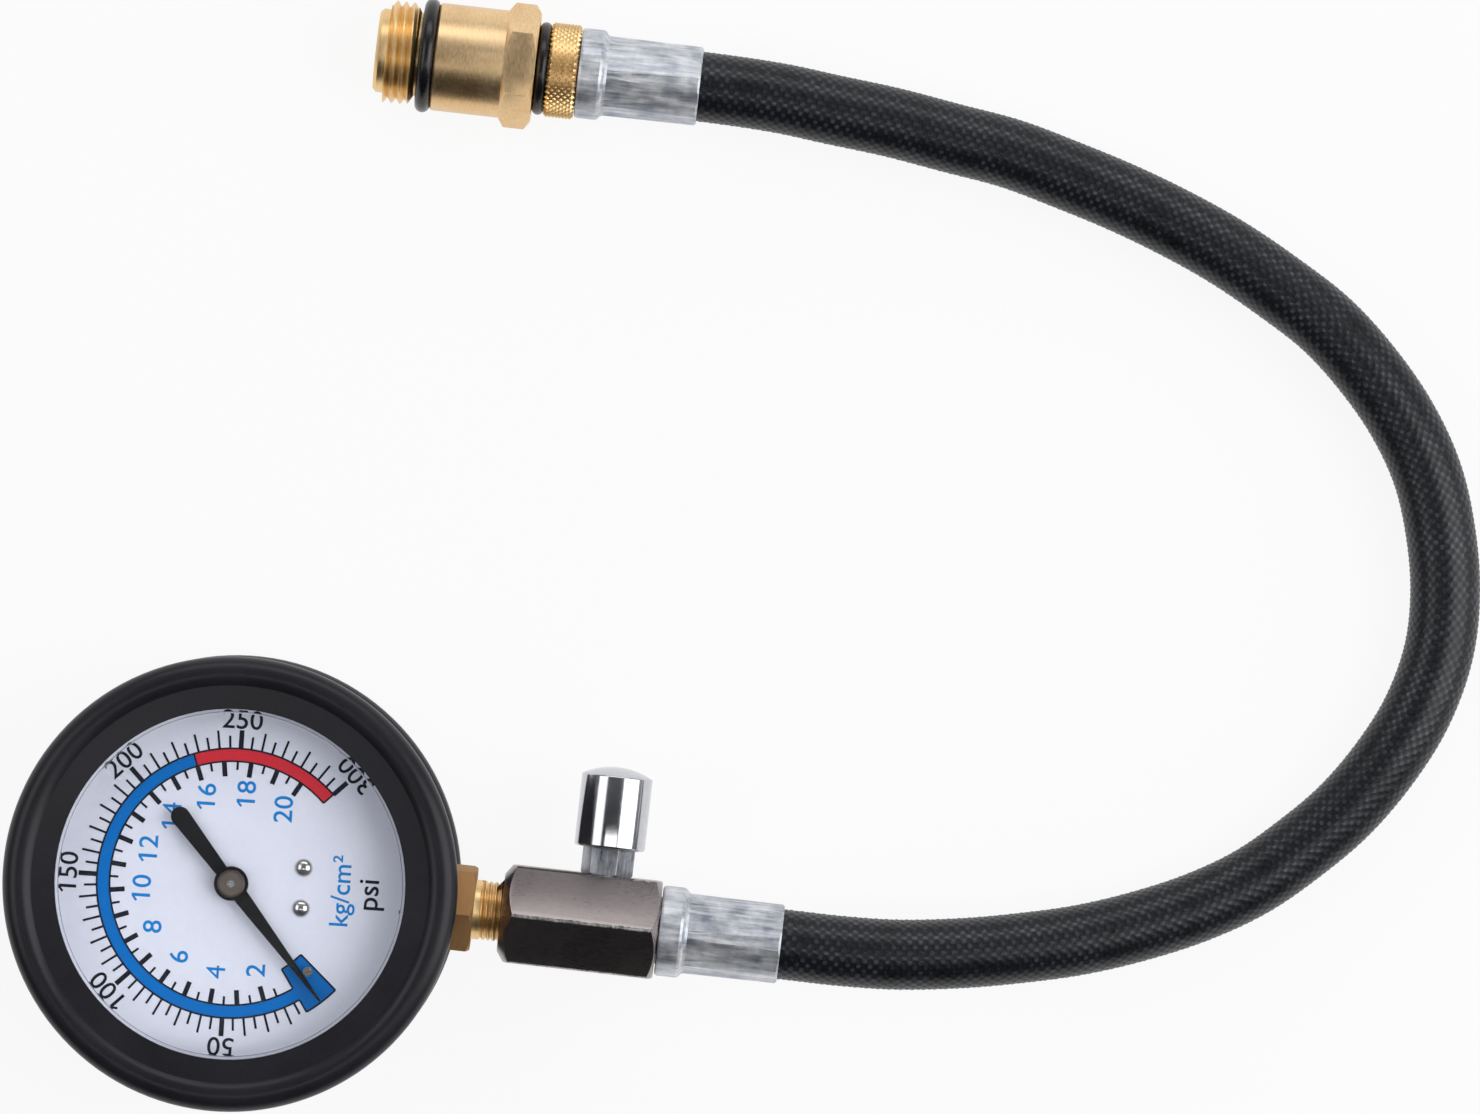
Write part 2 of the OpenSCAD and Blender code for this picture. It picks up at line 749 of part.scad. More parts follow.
module dial_plate() {
    arbor_hole = 4.4;
    color([0.93, 0.94, 0.97])
        translate([0, 0, dial_z])
            linear_extrude(dial_t)
                difference() {
                    circle(r = dial_r);
                    circle(d = arbor_hole);
                    dial_holes(dial_screw_d + 2 * slide_fit);
                    rotate(zero_angle) translate([stop_pin_r, 0]) circle(d = stop_pin_d + 2 * seat_fit);
                }
}

module dial_screws() {
    head_h = 0.9;
    color([0.8, 0.8, 0.82])
        for (side = [-1, 1])
            rotate(dial_turn + side * dial_screw_angle)
                translate([dial_screw_r, 0, dial_top])
                    dome_screw(dial_screw_head, head_h, dial_screw_d, dial_t + dial_spacer + plate_t);
}

module dial_spacers() {
    spacer_d = dial_screw_d + 1.6;
    color([0.83, 0.68, 0.38])
        translate([0, 0, dial_z - dial_spacer])
            linear_extrude(dial_spacer)
                difference() {
                    dial_holes(spacer_d);
                    dial_holes(dial_screw_d + 2 * slide_fit);
                }
}

module stop_pin() {
    above = pointer_lift + pointer_t + 0.8;
    below = 0.6;
    color([0.75, 0.75, 0.78])
        rotate(zero_angle)
            translate([stop_pin_r, 0, dial_z - below])
                cylinder(d = stop_pin_d, h = below + dial_t + above);
}

module pointer() {
    hub_r = hub_d / 2;
    waist_w = pointer_root_w * 0.75;
    color([0.09, 0.09, 0.1])
        rotate(pointer_rest)
            translate([0, 0, pointer_z])
                linear_extrude(pointer_t)
                    difference() {
                        union() {
                            circle(r = hub_r);
                            polygon([
                                [0, -pointer_root_w / 2], [hub_r, -pointer_root_w / 2],
                                [pointer_tip, -pointer_tip_w / 2], [pointer_tip, pointer_tip_w / 2],
                                [hub_r, pointer_root_w / 2], [0, pointer_root_w / 2]
                            ]);
                            polygon([
                                [0, -waist_w / 2], [0, waist_w / 2],
                                [pointer_tail_w / 2 - pointer_tail, pointer_tail_w / 2],
                                [pointer_tail_w / 2 - pointer_tail, -pointer_tail_w / 2]
                            ]);
                            translate([pointer_tail_w / 2 - pointer_tail, 0]) circle(d = pointer_tail_w);
                        }
                        circle(d = cap_d / 2 + 2 * seat_fit);
                    }
}

module pointer_hub() {
    rim = 0.4;
    sleeve_drop = 0.7;
    color([0.36, 0.33, 0.31])
        rotate_extrude()
            polygon([
                [pivot_d / 2 + seat_fit, pointer_z - sleeve_drop], [cap_d / 4, pointer_z - sleeve_drop],
                [cap_d / 4, cap_z], [cap_d / 2, cap_z], [cap_d / 2, cap_z + cap_h - rim],
                [cap_d / 2 - rim, cap_z + cap_h], [pivot_d / 2 + seat_fit, cap_z + cap_h]
            ]);
}

module pinion_arbor() {
    root_r = pinion_pitch_r - 1.2 * gear_module;
    tip_r = pinion_pitch_r + gear_module;
    flank = tooth_flank(root_r, tip_r, pinion_pitch_r, pinion_teeth);
    gap_turn = sector_side + 180 / pinion_teeth;
    shake = 0.1;
    pivot_low = 0.3;
    color([0.78, 0.78, 0.8]) {
        translate([0, 0, pinion_z])
            linear_extrude(pinion_h)
                polygon([for (k = [0:pinion_teeth - 1])
                    each tooth_points(flank, gap_turn + k * 360 / pinion_teeth)]);
        translate([0, 0, back_plate_z + plate_t + shake])
            cylinder(d = arbor_d, h = plate_gap - 2 * shake);
        translate([0, 0, back_plate_z - pivot_low])
            cylinder(d = pivot_d, h = cap_z + cap_h - back_plate_z + pivot_low);
        translate([0, 0, hairspring_z - (collet_h - hairspring_h) / 2])
            cylinder(d = collet_d, h = collet_h);
    }
}

module hairspring() {
    steps = 24;
    count = hairspring_turns * steps;
    first_r = collet_d / 2 + hairspring_t / 2;
    pitch = (hairspring_out - first_r) / count;
    color([0.7, 0.6, 0.35])
        translate([0, 0, hairspring_z])
            linear_extrude(hairspring_h)
                polygon(concat(
                    [for (k = [0:count])
                        at_angle(first_r + pitch * k + hairspring_t / 2, 180 + k * 360 / steps)],
                    [for (k = [count:-1:0])
                        at_angle(first_r + pitch * k - hairspring_t / 2, 180 + k * 360 / steps)]
                ));
}

module hairspring_stud() {
    below = 0.4;
    stud_z = hairspring_z - below;
    color([0.83, 0.68, 0.38])
        translate([-hairspring_out - hairspring_t / 2 - stud_d / 2 - seat_fit, 0, stud_z])
            cylinder(d = stud_d, h = front_plate_z - stud_z);
}

// Outline that both plates share, with the pillars' tenon holes
module frame_outline() {
    difference() {
        round_plate(plate_low, plate_high, plate_corner);
        for (place = pillar_places)
            translate(place) circle(d = tenon_d + 2 * seat_fit);
        circle(d = pivot_d + 2 * pivot_clear);
        translate(sector_pivot) circle(d = sector_pivot_d + 2 * pivot_clear);
    }
}

module front_plate() {
    color([0.85, 0.7, 0.4])
        translate([0, 0, front_plate_z])
            linear_extrude(plate_t)
                difference() {
                    frame_outline();
                    dial_holes(dial_screw_d + 2 * thread_fit);
                }
}

module back_plate() {
    color([0.85, 0.7, 0.4])
        translate([0, 0, back_plate_z])
            linear_extrude(plate_t)
                difference() {
                    frame_outline();
                    for (place = frame_screw_places)
                        translate(place) circle(d = frame_screw_d + 2 * slide_fit);
                }
}

module pillars() {
    color([0.83, 0.68, 0.38])
        for (place = pillar_places) {
            translate([place[0], place[1], back_plate_z + plate_t]) cylinder(d = pillar_d, h = plate_gap);
            translate([place[0], place[1], back_plate_z])
                cylinder(d = tenon_d, h = plate_gap + 2 * plate_t);
        }
}

module movement_screws() {
    color([0.75, 0.75, 0.78])
        for (place = frame_screw_places)
            translate([place[0], place[1], back_plate_z + plate_t])
                dome_screw(frame_screw_head, frame_screw_head_h, frame_screw_d, plate_t + frame_screw_in);
}

module sector_gear() {
    root_r = sector_pitch_r - 1.3 * gear_module;
    tip_r = sector_pitch_r + 0.6 * gear_module;
    flank = tooth_flank(root_r, tip_r, sector_pitch_r, sector_whole_teeth);
    first = sector_side + 180 + spare_teeth * tooth_pitch;
    teeth = ceil(sector_travel / tooth_pitch) + 2 * spare_teeth + 1;
    last = first - (teeth - 1) * tooth_pitch;
    rim = 1.4;
    rib = 9;
    window_flare = 6;
    window_steps = 6;
    window_r = sector_hub_d / 2 + 0.6;
    tail_w = 2.4;
    color([0.85, 0.7, 0.4])
        translate([sector_pivot[0], sector_pivot[1], sector_z])
            linear_extrude(sector_t)
                difference() {
                    union() {
                        polygon(concat(
                            [[0, 0]],
                            [for (k = [teeth - 1:-1:0])
                                each tooth_points(flank, first - k * tooth_pitch)]
                        ));
                        circle(d = sector_hub_d);
                        rotate(tail_rest) {
                            translate([0, -tail_w / 2]) square([tail_len, tail_w]);
                            translate([tail_len, 0]) circle(d = tail_w);
                        }
                    }
                    polygon(concat(
                        [at_angle(window_r, last + rib + window_flare)],
                        [for (k = [0:window_steps])
                            at_angle(root_r - rim,
                                last + rib + (first - last - 2 * rib) * k / window_steps)],
                        [at_angle(window_r, first - rib - window_flare)]
                    ));
                    circle(d = sector_arbor_d + 2 * seat_fit);
                    rotate(tail_rest) translate([tail_len, 0]) circle(d = link_pin_d + 2 * seat_fit);
                }
}

module sector_arbor() {
    shake = 0.1;
    color([0.78, 0.78, 0.8])
        translate([sector_pivot[0], sector_pivot[1], 0]) {
            translate([0, 0, back_plate_z + plate_t + shake])
                cylinder(d = sector_arbor_d, h = plate_gap - 2 * shake);
            translate([0, 0, back_plate_z]) cylinder(d = sector_pivot_d, h = plate_gap + 2 * plate_t);
        }
}

module sector_pin() {
    below = 0.4;
    above = 0.4;
    color([0.78, 0.78, 0.8])
        translate([tail_pin[0], tail_pin[1], sector_z - below])
            cylinder(d = link_pin_d, h = below + sector_t + link_gap + link_t + above);
}

module link() {
    color([0.85, 0.7, 0.4])
        translate([tail_pin[0], tail_pin[1], link_z])
            linear_extrude(link_t)
                rotate(tail_dir - 90)
                    difference() {
                        union() {
                            translate([0, -link_bar_w / 2]) square([link_len, link_bar_w]);
                            for (x = [0, link_len])
                                translate([x, 0]) circle(d = link_end_d);
                        }
                        circle(d = link_pin_d + 2 * pivot_clear);
                        translate([link_len, 0]) circle(d = link_pin_d + 2 * open_pivot_clear);
                    }
}

module tube_tip() {
    ear_w = 2.8;
    inner_r = tube_r - tube_w / 2;
    color([0.85, 0.7, 0.4])
        difference() {
            union() {
                translate([0, 0, stem_z - tip_h / 2])
                    rotate(tip_last)
                        rotate_extrude(angle = tube_end - tip_last - 0.1)
                            translate([inner_r, 0]) square([tube_w, tip_h]);
                translate([0, 0, ear_z])
                    linear_extrude(ear_t)
                        rotate(tip_pin_angle) {
                            translate([tip_pin_r, -ear_w / 2]) square([inner_r + 1 - tip_pin_r, ear_w]);
                            translate([tip_pin_r, 0]) circle(d = ear_w);
                        }
            }
            translate([tip_pin_at[0], tip_pin_at[1], ear_z - cut])
                cylinder(d = link_pin_d + 2 * seat_fit, h = ear_t + 2 * cut);
        }
}

module tip_pin() {
    below = 0.3;
    above = 0.3;
    color([0.78, 0.78, 0.8])
        translate([tip_pin_at[0], tip_pin_at[1], link_z - below])
            cylinder(d = link_pin_d, h = below + link_t + link_gap + ear_t + above);
}

module bourdon_tube() {
    color([0.8, 0.6, 0.35])
        difference() {
            tube_arc(tube_end, 360 + tube_start, 0);
            tube_arc(tube_end - 2, 360 + tube_start + 2, -tube_wall);
        }
}

module stem_socket() {
    ledge_w = socket_w - 3;
    ledge_z = back_plate_z - ledge_t;
    slot_from = -30;
    slot_to = 5;
    hex_chamfer = 0.9;
    color([0.72, 0.56, 0.33])
        difference() {
            union() {
                translate([socket_x0, -socket_w / 2, case_floor])
                    cube([socket_x1 - socket_x0, socket_w, socket_top - case_floor]);
                translate([ledge_x0, -ledge_w / 2, ledge_z])
                    cube([socket_x0 - ledge_x0, ledge_w, ledge_t]);
                along_x([socket_x1, 0, stem_z]) cylinder(d = neck_d, h = stem_hex_x0 - socket_x1);
                along_x([stem_hex_x0, 0, stem_z])
                    rotate(stem_hex_turn)
                        hex_bar(stem_af, stem_hex_x1 - stem_hex_x0, hex_chamfer, hex_chamfer);
                along_x([socket_x1 - cut, 0, stem_z])
                    cylinder(d = stem_thread_d, h = stem_x1 - socket_x1 + cut);
            }
            tube_arc(slot_from, slot_to, seat_fit);
            along_x([tube_r, 0, stem_z]) cylinder(d = stem_bore, h = stem_x1 - tube_r + cut);
            for (place = frame_screw_places)
                translate([place[0], place[1], back_plate_z - frame_screw_in - 0.5])
                    cylinder(d = frame_screw_d + 2 * thread_fit, h = frame_screw_in + cut);
            for (place = case_screw_places)
                translate([place[0], place[1], case_floor - cut])
                    cylinder(d = case_screw_d + 2 * thread_fit, h = case_screw_in + cut + 0.5);
        }
}

module valve_block() {
    stem_bore_len = stem_thread_in + 1;
    nipple_bore_len = nipple_thread_len + 0.1;
    color([0.4, 0.4, 0.42])
        difference() {
            along_x([block_x0, 0, stem_z]) hex_bar(block_af, block_len, block_chamfer, block_end_chamfer);
            along_x([block_x0 - cut, 0, stem_z])
                cylinder(d = stem_thread_d + 2 * thread_fit, h = stem_bore_len + cut);
            along_x([block_x0, 0, stem_z]) cylinder(d = passage_d, h = block_len);
            along_x([block_x1 - nipple_bore_len, 0, stem_z])
                cylinder(d = nipple_thread_d + 2 * thread_fit, h = nipple_bore_len + cut);
            on_release(release_hole_y)
                cylinder(d = release_thread_d + 2 * thread_fit, h = flat_y - release_hole_y + cut);
        }
}

module release_body() {
    hex_turn = -9;
    hex_edge = 0.4;
    color([0.66, 0.68, 0.72])
        difference() {
            union() {
                on_release(thread_end_y)
                    cylinder(d = release_thread_d, h = guide_y + guide_h - thread_end_y);
                on_release(flat_y)
                    rotate(hex_turn) hex_bar(release_af, guide_y - flat_y, hex_edge, hex_edge);
                on_release(guide_y) cylinder(d = guide_d - 2 * slide_fit, h = guide_h);
            }
            on_release(thread_end_y - cut)
                cylinder(d = release_pin_d + 2 * slide_fit, h = guide_y - thread_end_y + guide_h);
            on_release(spring_seat_y) cylinder(d = spring_room_d, h = guide_y + guide_h);
        }
}

module release_button() {
    side_end = button_y + button_h;
    dome_r = (pow(button_d / 2, 2) + pow(button_dome, 2)) / (2 * button_dome);
    rim = 0.3;
    color([0.86, 0.87, 0.9])
        difference() {
            union() {
                on_release(button_y)
                    rotate_extrude()
                        polygon([
                            [0, 0], [button_d / 2 - rim, 0], [button_d / 2, rim],
                            [button_d / 2, button_h], [0, button_h]
                        ]);
                on_release(side_end)
                    intersection() {
                        translate([0, 0, -cut]) cylinder(d = button_d, h = button_dome + 2 * cut);
                        translate([0, 0, button_dome - dome_r]) sphere(r = dome_r, $fn = 96);
                    }
            }
            on_release(button_y - cut) cylinder(d = guide_d, h = roof_y - button_y + cut);
            on_release(roof_y - cut) cylinder(d = release_pin_d + 2 * seat_fit, h = pin_grip + cut);
        }
}

module release_pin() {
    color([0.75, 0.75, 0.78]) {
        on_release(poppet_y) cylinder(d = poppet_d, h = poppet_h);
        on_release(poppet_y) cylinder(d = release_pin_d, h = roof_y + pin_grip - poppet_y);
    }
}

module release_seal() {
    color([0.1, 0.1, 0.1])
        on_release(poppet_y + poppet_h)
            difference() {
                cylinder(d = poppet_d, h = release_seal_h);
                translate([0, 0, -cut])
                    cylinder(d = release_pin_d + 2 * seat_fit, h = release_seal_h + 2 * cut);
            }
}

module release_spring() {
    spring_turns = 7;
    color([0.7, 0.7, 0.73])
        on_release(spring_seat_y)
            coil_spring(spring_mean_r, release_wire, roof_y - spring_seat_y, spring_turns);
}

module block_nipple() {
    color([0.83, 0.68, 0.38])
        difference() {
            union() {
                along_x([block_x1 - nipple_thread_len, 0, stem_z])
                    cylinder(d = nipple_thread_d, h = nipple_thread_len);
                along_x([block_x1, 0, stem_z]) cylinder(d = flange_d, h = ferrule_gap);
                along_x([block_x1 - cut, 0, stem_z]) cylinder(d = tail_core_d, h = ferrule_gap + 2 * cut);
                along_x([ferrule_x0, 0, stem_z]) barbed_tail();
            }
            along_x([block_x1 - nipple_thread_len - cut, 0, stem_z])
                cylinder(d = fitting_bore, h = ferrule_x1 - block_x1 + nipple_thread_len + cut);
        }
}

module block_ferrule() {
    color([0.8, 0.8, 0.83])
        along_x([ferrule_x0, 0, stem_z]) ferrule();
}

module hose() {
    color([0.12, 0.12, 0.13])
        hollow_sweep(hose_points, hose_r, hose_bore / 2, hose_sides);
}

module end_ferrule() {
    color([0.8, 0.8, 0.83])
        on_adapter(end_ferrule_t) ferrule();
}

module hose_fitting() {
    collar_edge = 0.5;
    collar_r = collar_d / 2;
    total = end_ferrule_t + ferrule_len - joint_thread_t;
    thread_relief = 0.8;
    color([0.83, 0.66, 0.36])
        difference() {
            union() {
                on_adapter(joint_thread_t)
                    cylinder(d = joint_thread_d, h = adapter_end_t - joint_thread_t - thread_relief);
                on_adapter(joint_thread_t)
                    cylinder(d = seal_neck_d, h = collar_t - joint_thread_t + collar_len / 2);
                on_adapter(collar_t) cylinder(d = tail_core_d, h = collar_len + ferrule_gap + cut);
                on_adapter(collar_t)
                    rotate_extrude()
                        polygon([
                            [0, 0], [collar_r - collar_edge, 0], [collar_r, collar_edge],
                            [collar_r, collar_len - collar_edge], [collar_r - collar_edge, collar_len],
                            [0, collar_len]
                        ]);
                on_adapter(collar_t + collar_len) cylinder(d = flange_d, h = ferrule_gap);
                on_adapter(end_ferrule_t) barbed_tail();
            }
            on_adapter(joint_thread_t - cut) cylinder(d = fitting_bore, h = total + cut);
            on_adapter(joint_thread_t - cut)
                cylinder(d = core_d + 2 * thread_fit, h = core_room_t - joint_thread_t + cut);
        }
}

module fitting_seal() {
    color([0.08, 0.08, 0.08])
        on_adapter(adapter_end_t + seat_fit + seal_section / 2) seal_ring(seal_d, seal_section);
}

module adapter() {
    pilot_edge = 0.6;
    body_edge = 0.3;
    undercut_len = 0.9;
    hex_edge = 1.4;
    color([0.79, 0.64, 0.42])
        difference() {
            union() {
                on_adapter(0)
                    rotate_extrude()
                        polygon([
                            [0, 0], [pilot_d / 2 - pilot_edge, 0], [pilot_d / 2, pilot_edge],
                            [pilot_d / 2, pilot_len], [plug_thread_d / 2, thread_t],
                            [plug_thread_d / 2, groove_t], [groove_d / 2, groove_t + undercut_len],
                            [groove_d / 2, body_t], [adapter_body_d / 2 - body_edge, body_t],
                            [adapter_body_d / 2, body_t + body_edge], [adapter_body_d / 2, hex_t],
                            [adapter_body_d / 2 - cut, hex_t], [adapter_body_d / 2 - cut, hex_t + cut],
                            [0, hex_t + cut]
                        ]);
                on_adapter(hex_t) rotate(30) hex_bar(adapter_af, adapter_hex_len, hex_edge, hex_edge);
            }
            on_adapter(-cut) cylinder(d = adapter_bore, h = joint_bore_t + 2 * cut);
            on_adapter(joint_bore_t)
                cylinder(d = joint_thread_d + 2 * thread_fit, h = adapter_end_t - joint_bore_t + cut);
        }
}

module adapter_o_ring() {
    color([0.06, 0.06, 0.06])
        on_adapter(body_t - seat_fit - o_ring_section / 2) seal_ring(o_ring_d, o_ring_section);
}

module check_core() {
    color([0.83, 0.68, 0.38])
        on_adapter(core_t)
            difference() {
                cylinder(d = core_d, h = core_len);
                translate([0, 0, -cut]) cylinder(d = core_bore, h = bridge_t - core_t + cut);
                cylinder(d = check_pin_d + 2 * seat_fit, h = core_len);
                translate([0, 0, bridge_t - core_t + bridge_len]) cylinder(d = core_bore, h = core_len);
            }
}

module check_pin() {
    color([0.75, 0.75, 0.78]) {
        on_adapter(pin_head_t) cylinder(d = pin_head_d, h = pin_head_len);
        on_adapter(pin_head_t)
            cylinder(d = check_pin_d, h = check_poppet_t + check_poppet_len - pin_head_t);
        on_adapter(check_poppet_t) cylinder(d = check_poppet_d, h = check_poppet_len);
    }
}

module check_seal() {
    color([0.1, 0.1, 0.1])
        on_adapter(check_seal_t)
            difference() {
                cylinder(d = check_poppet_d, h = check_seal_len);
                translate([0, 0, -cut])
                    cylinder(d = check_pin_d + 2 * seat_fit, h = check_seal_len + 2 * cut);
            }
}

module check_spring() {
    spring_turns = 5;
    spring_t = pin_head_t + pin_head_len;
    mean_r = check_pin_d / 2 + check_wire / 2 + 0.2;
    color([0.7, 0.7, 0.73])
        on_adapter(spring_t) coil_spring(mean_r, check_wire, bridge_t - spring_t, spring_turns);
}

rubber_boot();
gauge_case();
case_screws();
window();
dial_plate();
dial_screws();
dial_spacers();
stop_pin();
pointer();
pointer_hub();
pinion_arbor();
hairspring();
hairspring_stud();
front_plate();
back_plate();
pillars();
movement_screws();
sector_gear();
sector_arbor();
sector_pin();
link();
tube_tip();
tip_pin();
bourdon_tube();
stem_socket();
valve_block();
release_body();
release_button();
release_pin();
release_seal();
release_spring();
block_nipple();
block_ferrule();
hose();
end_ferrule();
hose_fitting();
fitting_seal();
adapter();
adapter_o_ring();
check_core();
check_pin();
check_seal();
check_spring();
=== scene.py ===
"""Visible pieces, finishes and stage of a compression tester gauge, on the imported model's frame.

Every length is in metres. The dial faces +Z and the gauge's stem runs along +X.
"""

import json
import math

import bpy
import numpy as np
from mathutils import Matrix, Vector
from mathutils.geometry import interpolate_bezier

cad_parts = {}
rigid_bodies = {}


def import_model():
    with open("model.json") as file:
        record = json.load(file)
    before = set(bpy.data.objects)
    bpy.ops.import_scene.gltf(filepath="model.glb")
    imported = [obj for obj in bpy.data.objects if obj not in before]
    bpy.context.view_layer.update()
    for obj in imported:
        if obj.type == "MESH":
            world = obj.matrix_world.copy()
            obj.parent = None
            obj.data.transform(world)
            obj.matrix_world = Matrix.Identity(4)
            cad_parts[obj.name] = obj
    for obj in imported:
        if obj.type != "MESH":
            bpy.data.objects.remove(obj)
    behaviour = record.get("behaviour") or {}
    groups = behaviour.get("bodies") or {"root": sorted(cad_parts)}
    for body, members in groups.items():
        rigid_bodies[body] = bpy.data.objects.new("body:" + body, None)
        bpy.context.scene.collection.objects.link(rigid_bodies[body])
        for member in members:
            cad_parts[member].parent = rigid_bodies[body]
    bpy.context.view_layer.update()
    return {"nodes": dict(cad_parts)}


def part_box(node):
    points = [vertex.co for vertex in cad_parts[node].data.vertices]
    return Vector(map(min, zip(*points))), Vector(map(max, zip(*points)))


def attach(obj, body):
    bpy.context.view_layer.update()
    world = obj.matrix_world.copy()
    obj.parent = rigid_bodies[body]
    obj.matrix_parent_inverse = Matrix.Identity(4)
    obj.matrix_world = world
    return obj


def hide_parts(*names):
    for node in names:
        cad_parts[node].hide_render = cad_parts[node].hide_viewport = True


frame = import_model()

bl_info = {
    "name": "Compression tester gauge",
    "version": (1, 0, 0),
    "blender": (4, 5, 0),
    "location": "View3D > Sidebar > Tester",
    "description": "Builds the hose, dial print, threads, knurl, finishes and stage of a tester gauge",
    "category": "Object",
}

MM = 0.001
BODY = "tester"

# Middle of the hose in millimetres, from inside the block's ferrule to inside the end ferrule
HOSE_ROUTE = (
    (76.4, 0, 16), (96.1, 0, 16), (107, 0, 15.8), (117, 0.5, 15.2), (128, 2, 14.2), (138, 4, 12.9),
    (148, 6.5, 11.5), (158, 10, 10), (168, 14.5, 8.6), (177, 20, 7.4), (185, 27, 6.6), (192, 34.5, 6.3),
    (198, 43.5, 6.3), (202.5, 53, 6.3), (205, 63.5, 6.3), (205, 74, 6.3), (203, 84.5, 6.3),
    (199.5, 94.5, 6.3), (194, 103.5, 6.3), (187, 111.5, 6.3), (179, 118.5, 6.3), (170, 124, 6.3),
    (160.5, 129, 6.3), (151, 133, 6.3), (141, 136.5, 6.3), (130.5, 139.5, 6.4), (120.5, 142, 6.8),
    (110, 143.5, 7.5), (99.5, 145, 8.3), (89, 146, 9.2), (78.5, 147, 9.8), (65.1, 147.4, 10),
    (45.4, 147.4, 10),
)
HOSE_FINISH = "Cloth-wrapped rubber"
# Spacing of points along the hose's path, and points of the smooth curve from one point of the route to the
# next
PATH_SPACING = 2 * MM
CURVE_POINTS = 25
HOSE_END_NODES = (
    "end_ferrule", "fitting_seal", "adapter_o_ring",
    "check_core", "check_pin", "check_seal", "check_spring",
)

# Angles of the scale on the dial, in degrees from +X: psi and kg/cm2 run clockwise from zero
ZERO_DEG = 317.5
PSI_DEG = 0.9
KG_DEG = 12.8
DIAL_TURN_DEG = 2.5
PSI_END = 300
START_BLOCK_DEG = (320.7, 306.7)
SECTOR_STEP_DEG = 2

# Radii on the dial: the block at zero, the marks' ends, and the middles of the digits
START_BLOCK_INNER, START_BLOCK_OUTER = 17.3 * MM, 25.9 * MM
SHORT_TICK_END, LONG_TICK_END = 25.65 * MM, 26.65 * MM
KG_THICK_START, KG_THIN_START = 18.6 * MM, 19.7 * MM
PSI_DIGITS, PSI_END_DIGITS, KG_DIGITS = 28.5 * MM, 28.6 * MM, 15.7 * MM

# Unit words: their letters, their width, and the radius and angle in degrees of their middle
PSI_WORD = ("psi", 5.2 * MM, 24.5 * MM, 1.6)
KG_WORD = ("kg/cm²", 12.3 * MM, 19.5 * MM, 2.6)

# Slanting stroke of the digit 1: place and size as shares of the digit's height, and slant in degrees
FLAG_LEFT, FLAG_DOWN = 0.08, 0.17
FLAG_LENGTH, FLAG_WIDTH = 0.34, 0.12
FLAG_DEG = 42
# Thickness of that stroke as a share of the letters' thickness
FLAG_THICKNESS = 0.96

# Threads: where they start and end along X, and the radius of their crest. The stem's is counted from the
# block's near face, and so is the neck behind it, where the clean brass starts
PLUG_THREAD = (8.7 * MM, 15.9 * MM, 8.95 * MM)
STEM_THREAD = (-3.6 * MM, 3 * MM, 5.2 * MM)
STEM_NECK = -4.75 * MM

# Thread cutter: steps to a turn, reach over the crest, and half its width as a share of the pitch
THREAD_STEPS = 40
THREAD_OVER = 0.12 * MM
THREAD_HALF = 0.42

# Rounding of turned edges, span of the knurl along X, and a diamond's foot and top as shares of the pitch
TURNED_EDGE = 0.08 * MM
KNURL_SPAN = (38.9 * MM, 43 * MM)
KNURL_FOOT, KNURL_TOP = 0.56, 0.1

# Camera: place above the floor, turn in degrees and sensor in millimetres
CAMERA_AT = (81.4 * MM, 66.35 * MM)
CAMERA_TURN_DEG = 6.5
SENSOR_WIDTH = 36

# Floor: depth under the tester, and the share of plain white in what is seen of it
FLOOR_DROP = 0.05 * MM
FLOOR_GLOW = 0.9

# Lamps: name, place, turn in degrees, width and height, and power in watts
LAMPS = (
    ("right_softbox", (1.0, 0.1, 0.76), (0, 53, 0), (1.2, 1.0), 10.3),
    ("left_softbox", (-0.78, 0.1, 0.865), (0, -42, 0), (0.62, 1.0), 3.5),
    ("rear_softbox", (0.08, 1.05, 0.6), (-61, 0, 0), (1.4, 0.45), 3.9),
    ("overhead_strip", (0.1, -0.2, 1.0), (15, 0, 0), (0.7, 0.12), 0.7),
)


def linear(value):
    """Linear red, green, blue and alpha of an sRGB hex value."""
    parts = [int(value[i:i + 2], 16) / 255 for i in (1, 3, 5)]
    return tuple(p / 12.92 if p <= 0.04045 else ((p + 0.055) / 1.055) ** 2.4 for p in parts) + (1.0,)


def length(name, description, millimetres):
    """A property for a length, with its default in millimetres."""
    return bpy.props.FloatProperty(
        name=name, description=description, default=millimetres * MM, min=0, unit="LENGTH", precision=5)


def colour(name, description, value):
    """A property for a colour, with its default as an sRGB hex value."""
    return bpy.props.FloatVectorProperty(
        name=name, description=description, default=linear(value), size=4, min=0, max=1, subtype="COLOR")


class HoseSettings(bpy.types.PropertyGroup):
    diameter: length("Diameter", "Outer diameter of the hose", 12.4)
    bore: length("Bore", "Inner diameter of the hose", 7)
    weave_pitch: length("Weave pitch", "Spacing of the cloth marks in the cover", 1.9)
    weave_depth: length("Weave depth", "Depth of the cloth marks", 0.22)
    cover: colour("Cover", "Colour of the rubber cover", "#0c0e13")
    # The worn cover colour is a painted highlight: it lightens the cloth marks' tops in place of the glints
    # on the weave
    worn: colour("Worn cover", "Colour of the cloth marks' tops, rubbed by handling", "#575a63")


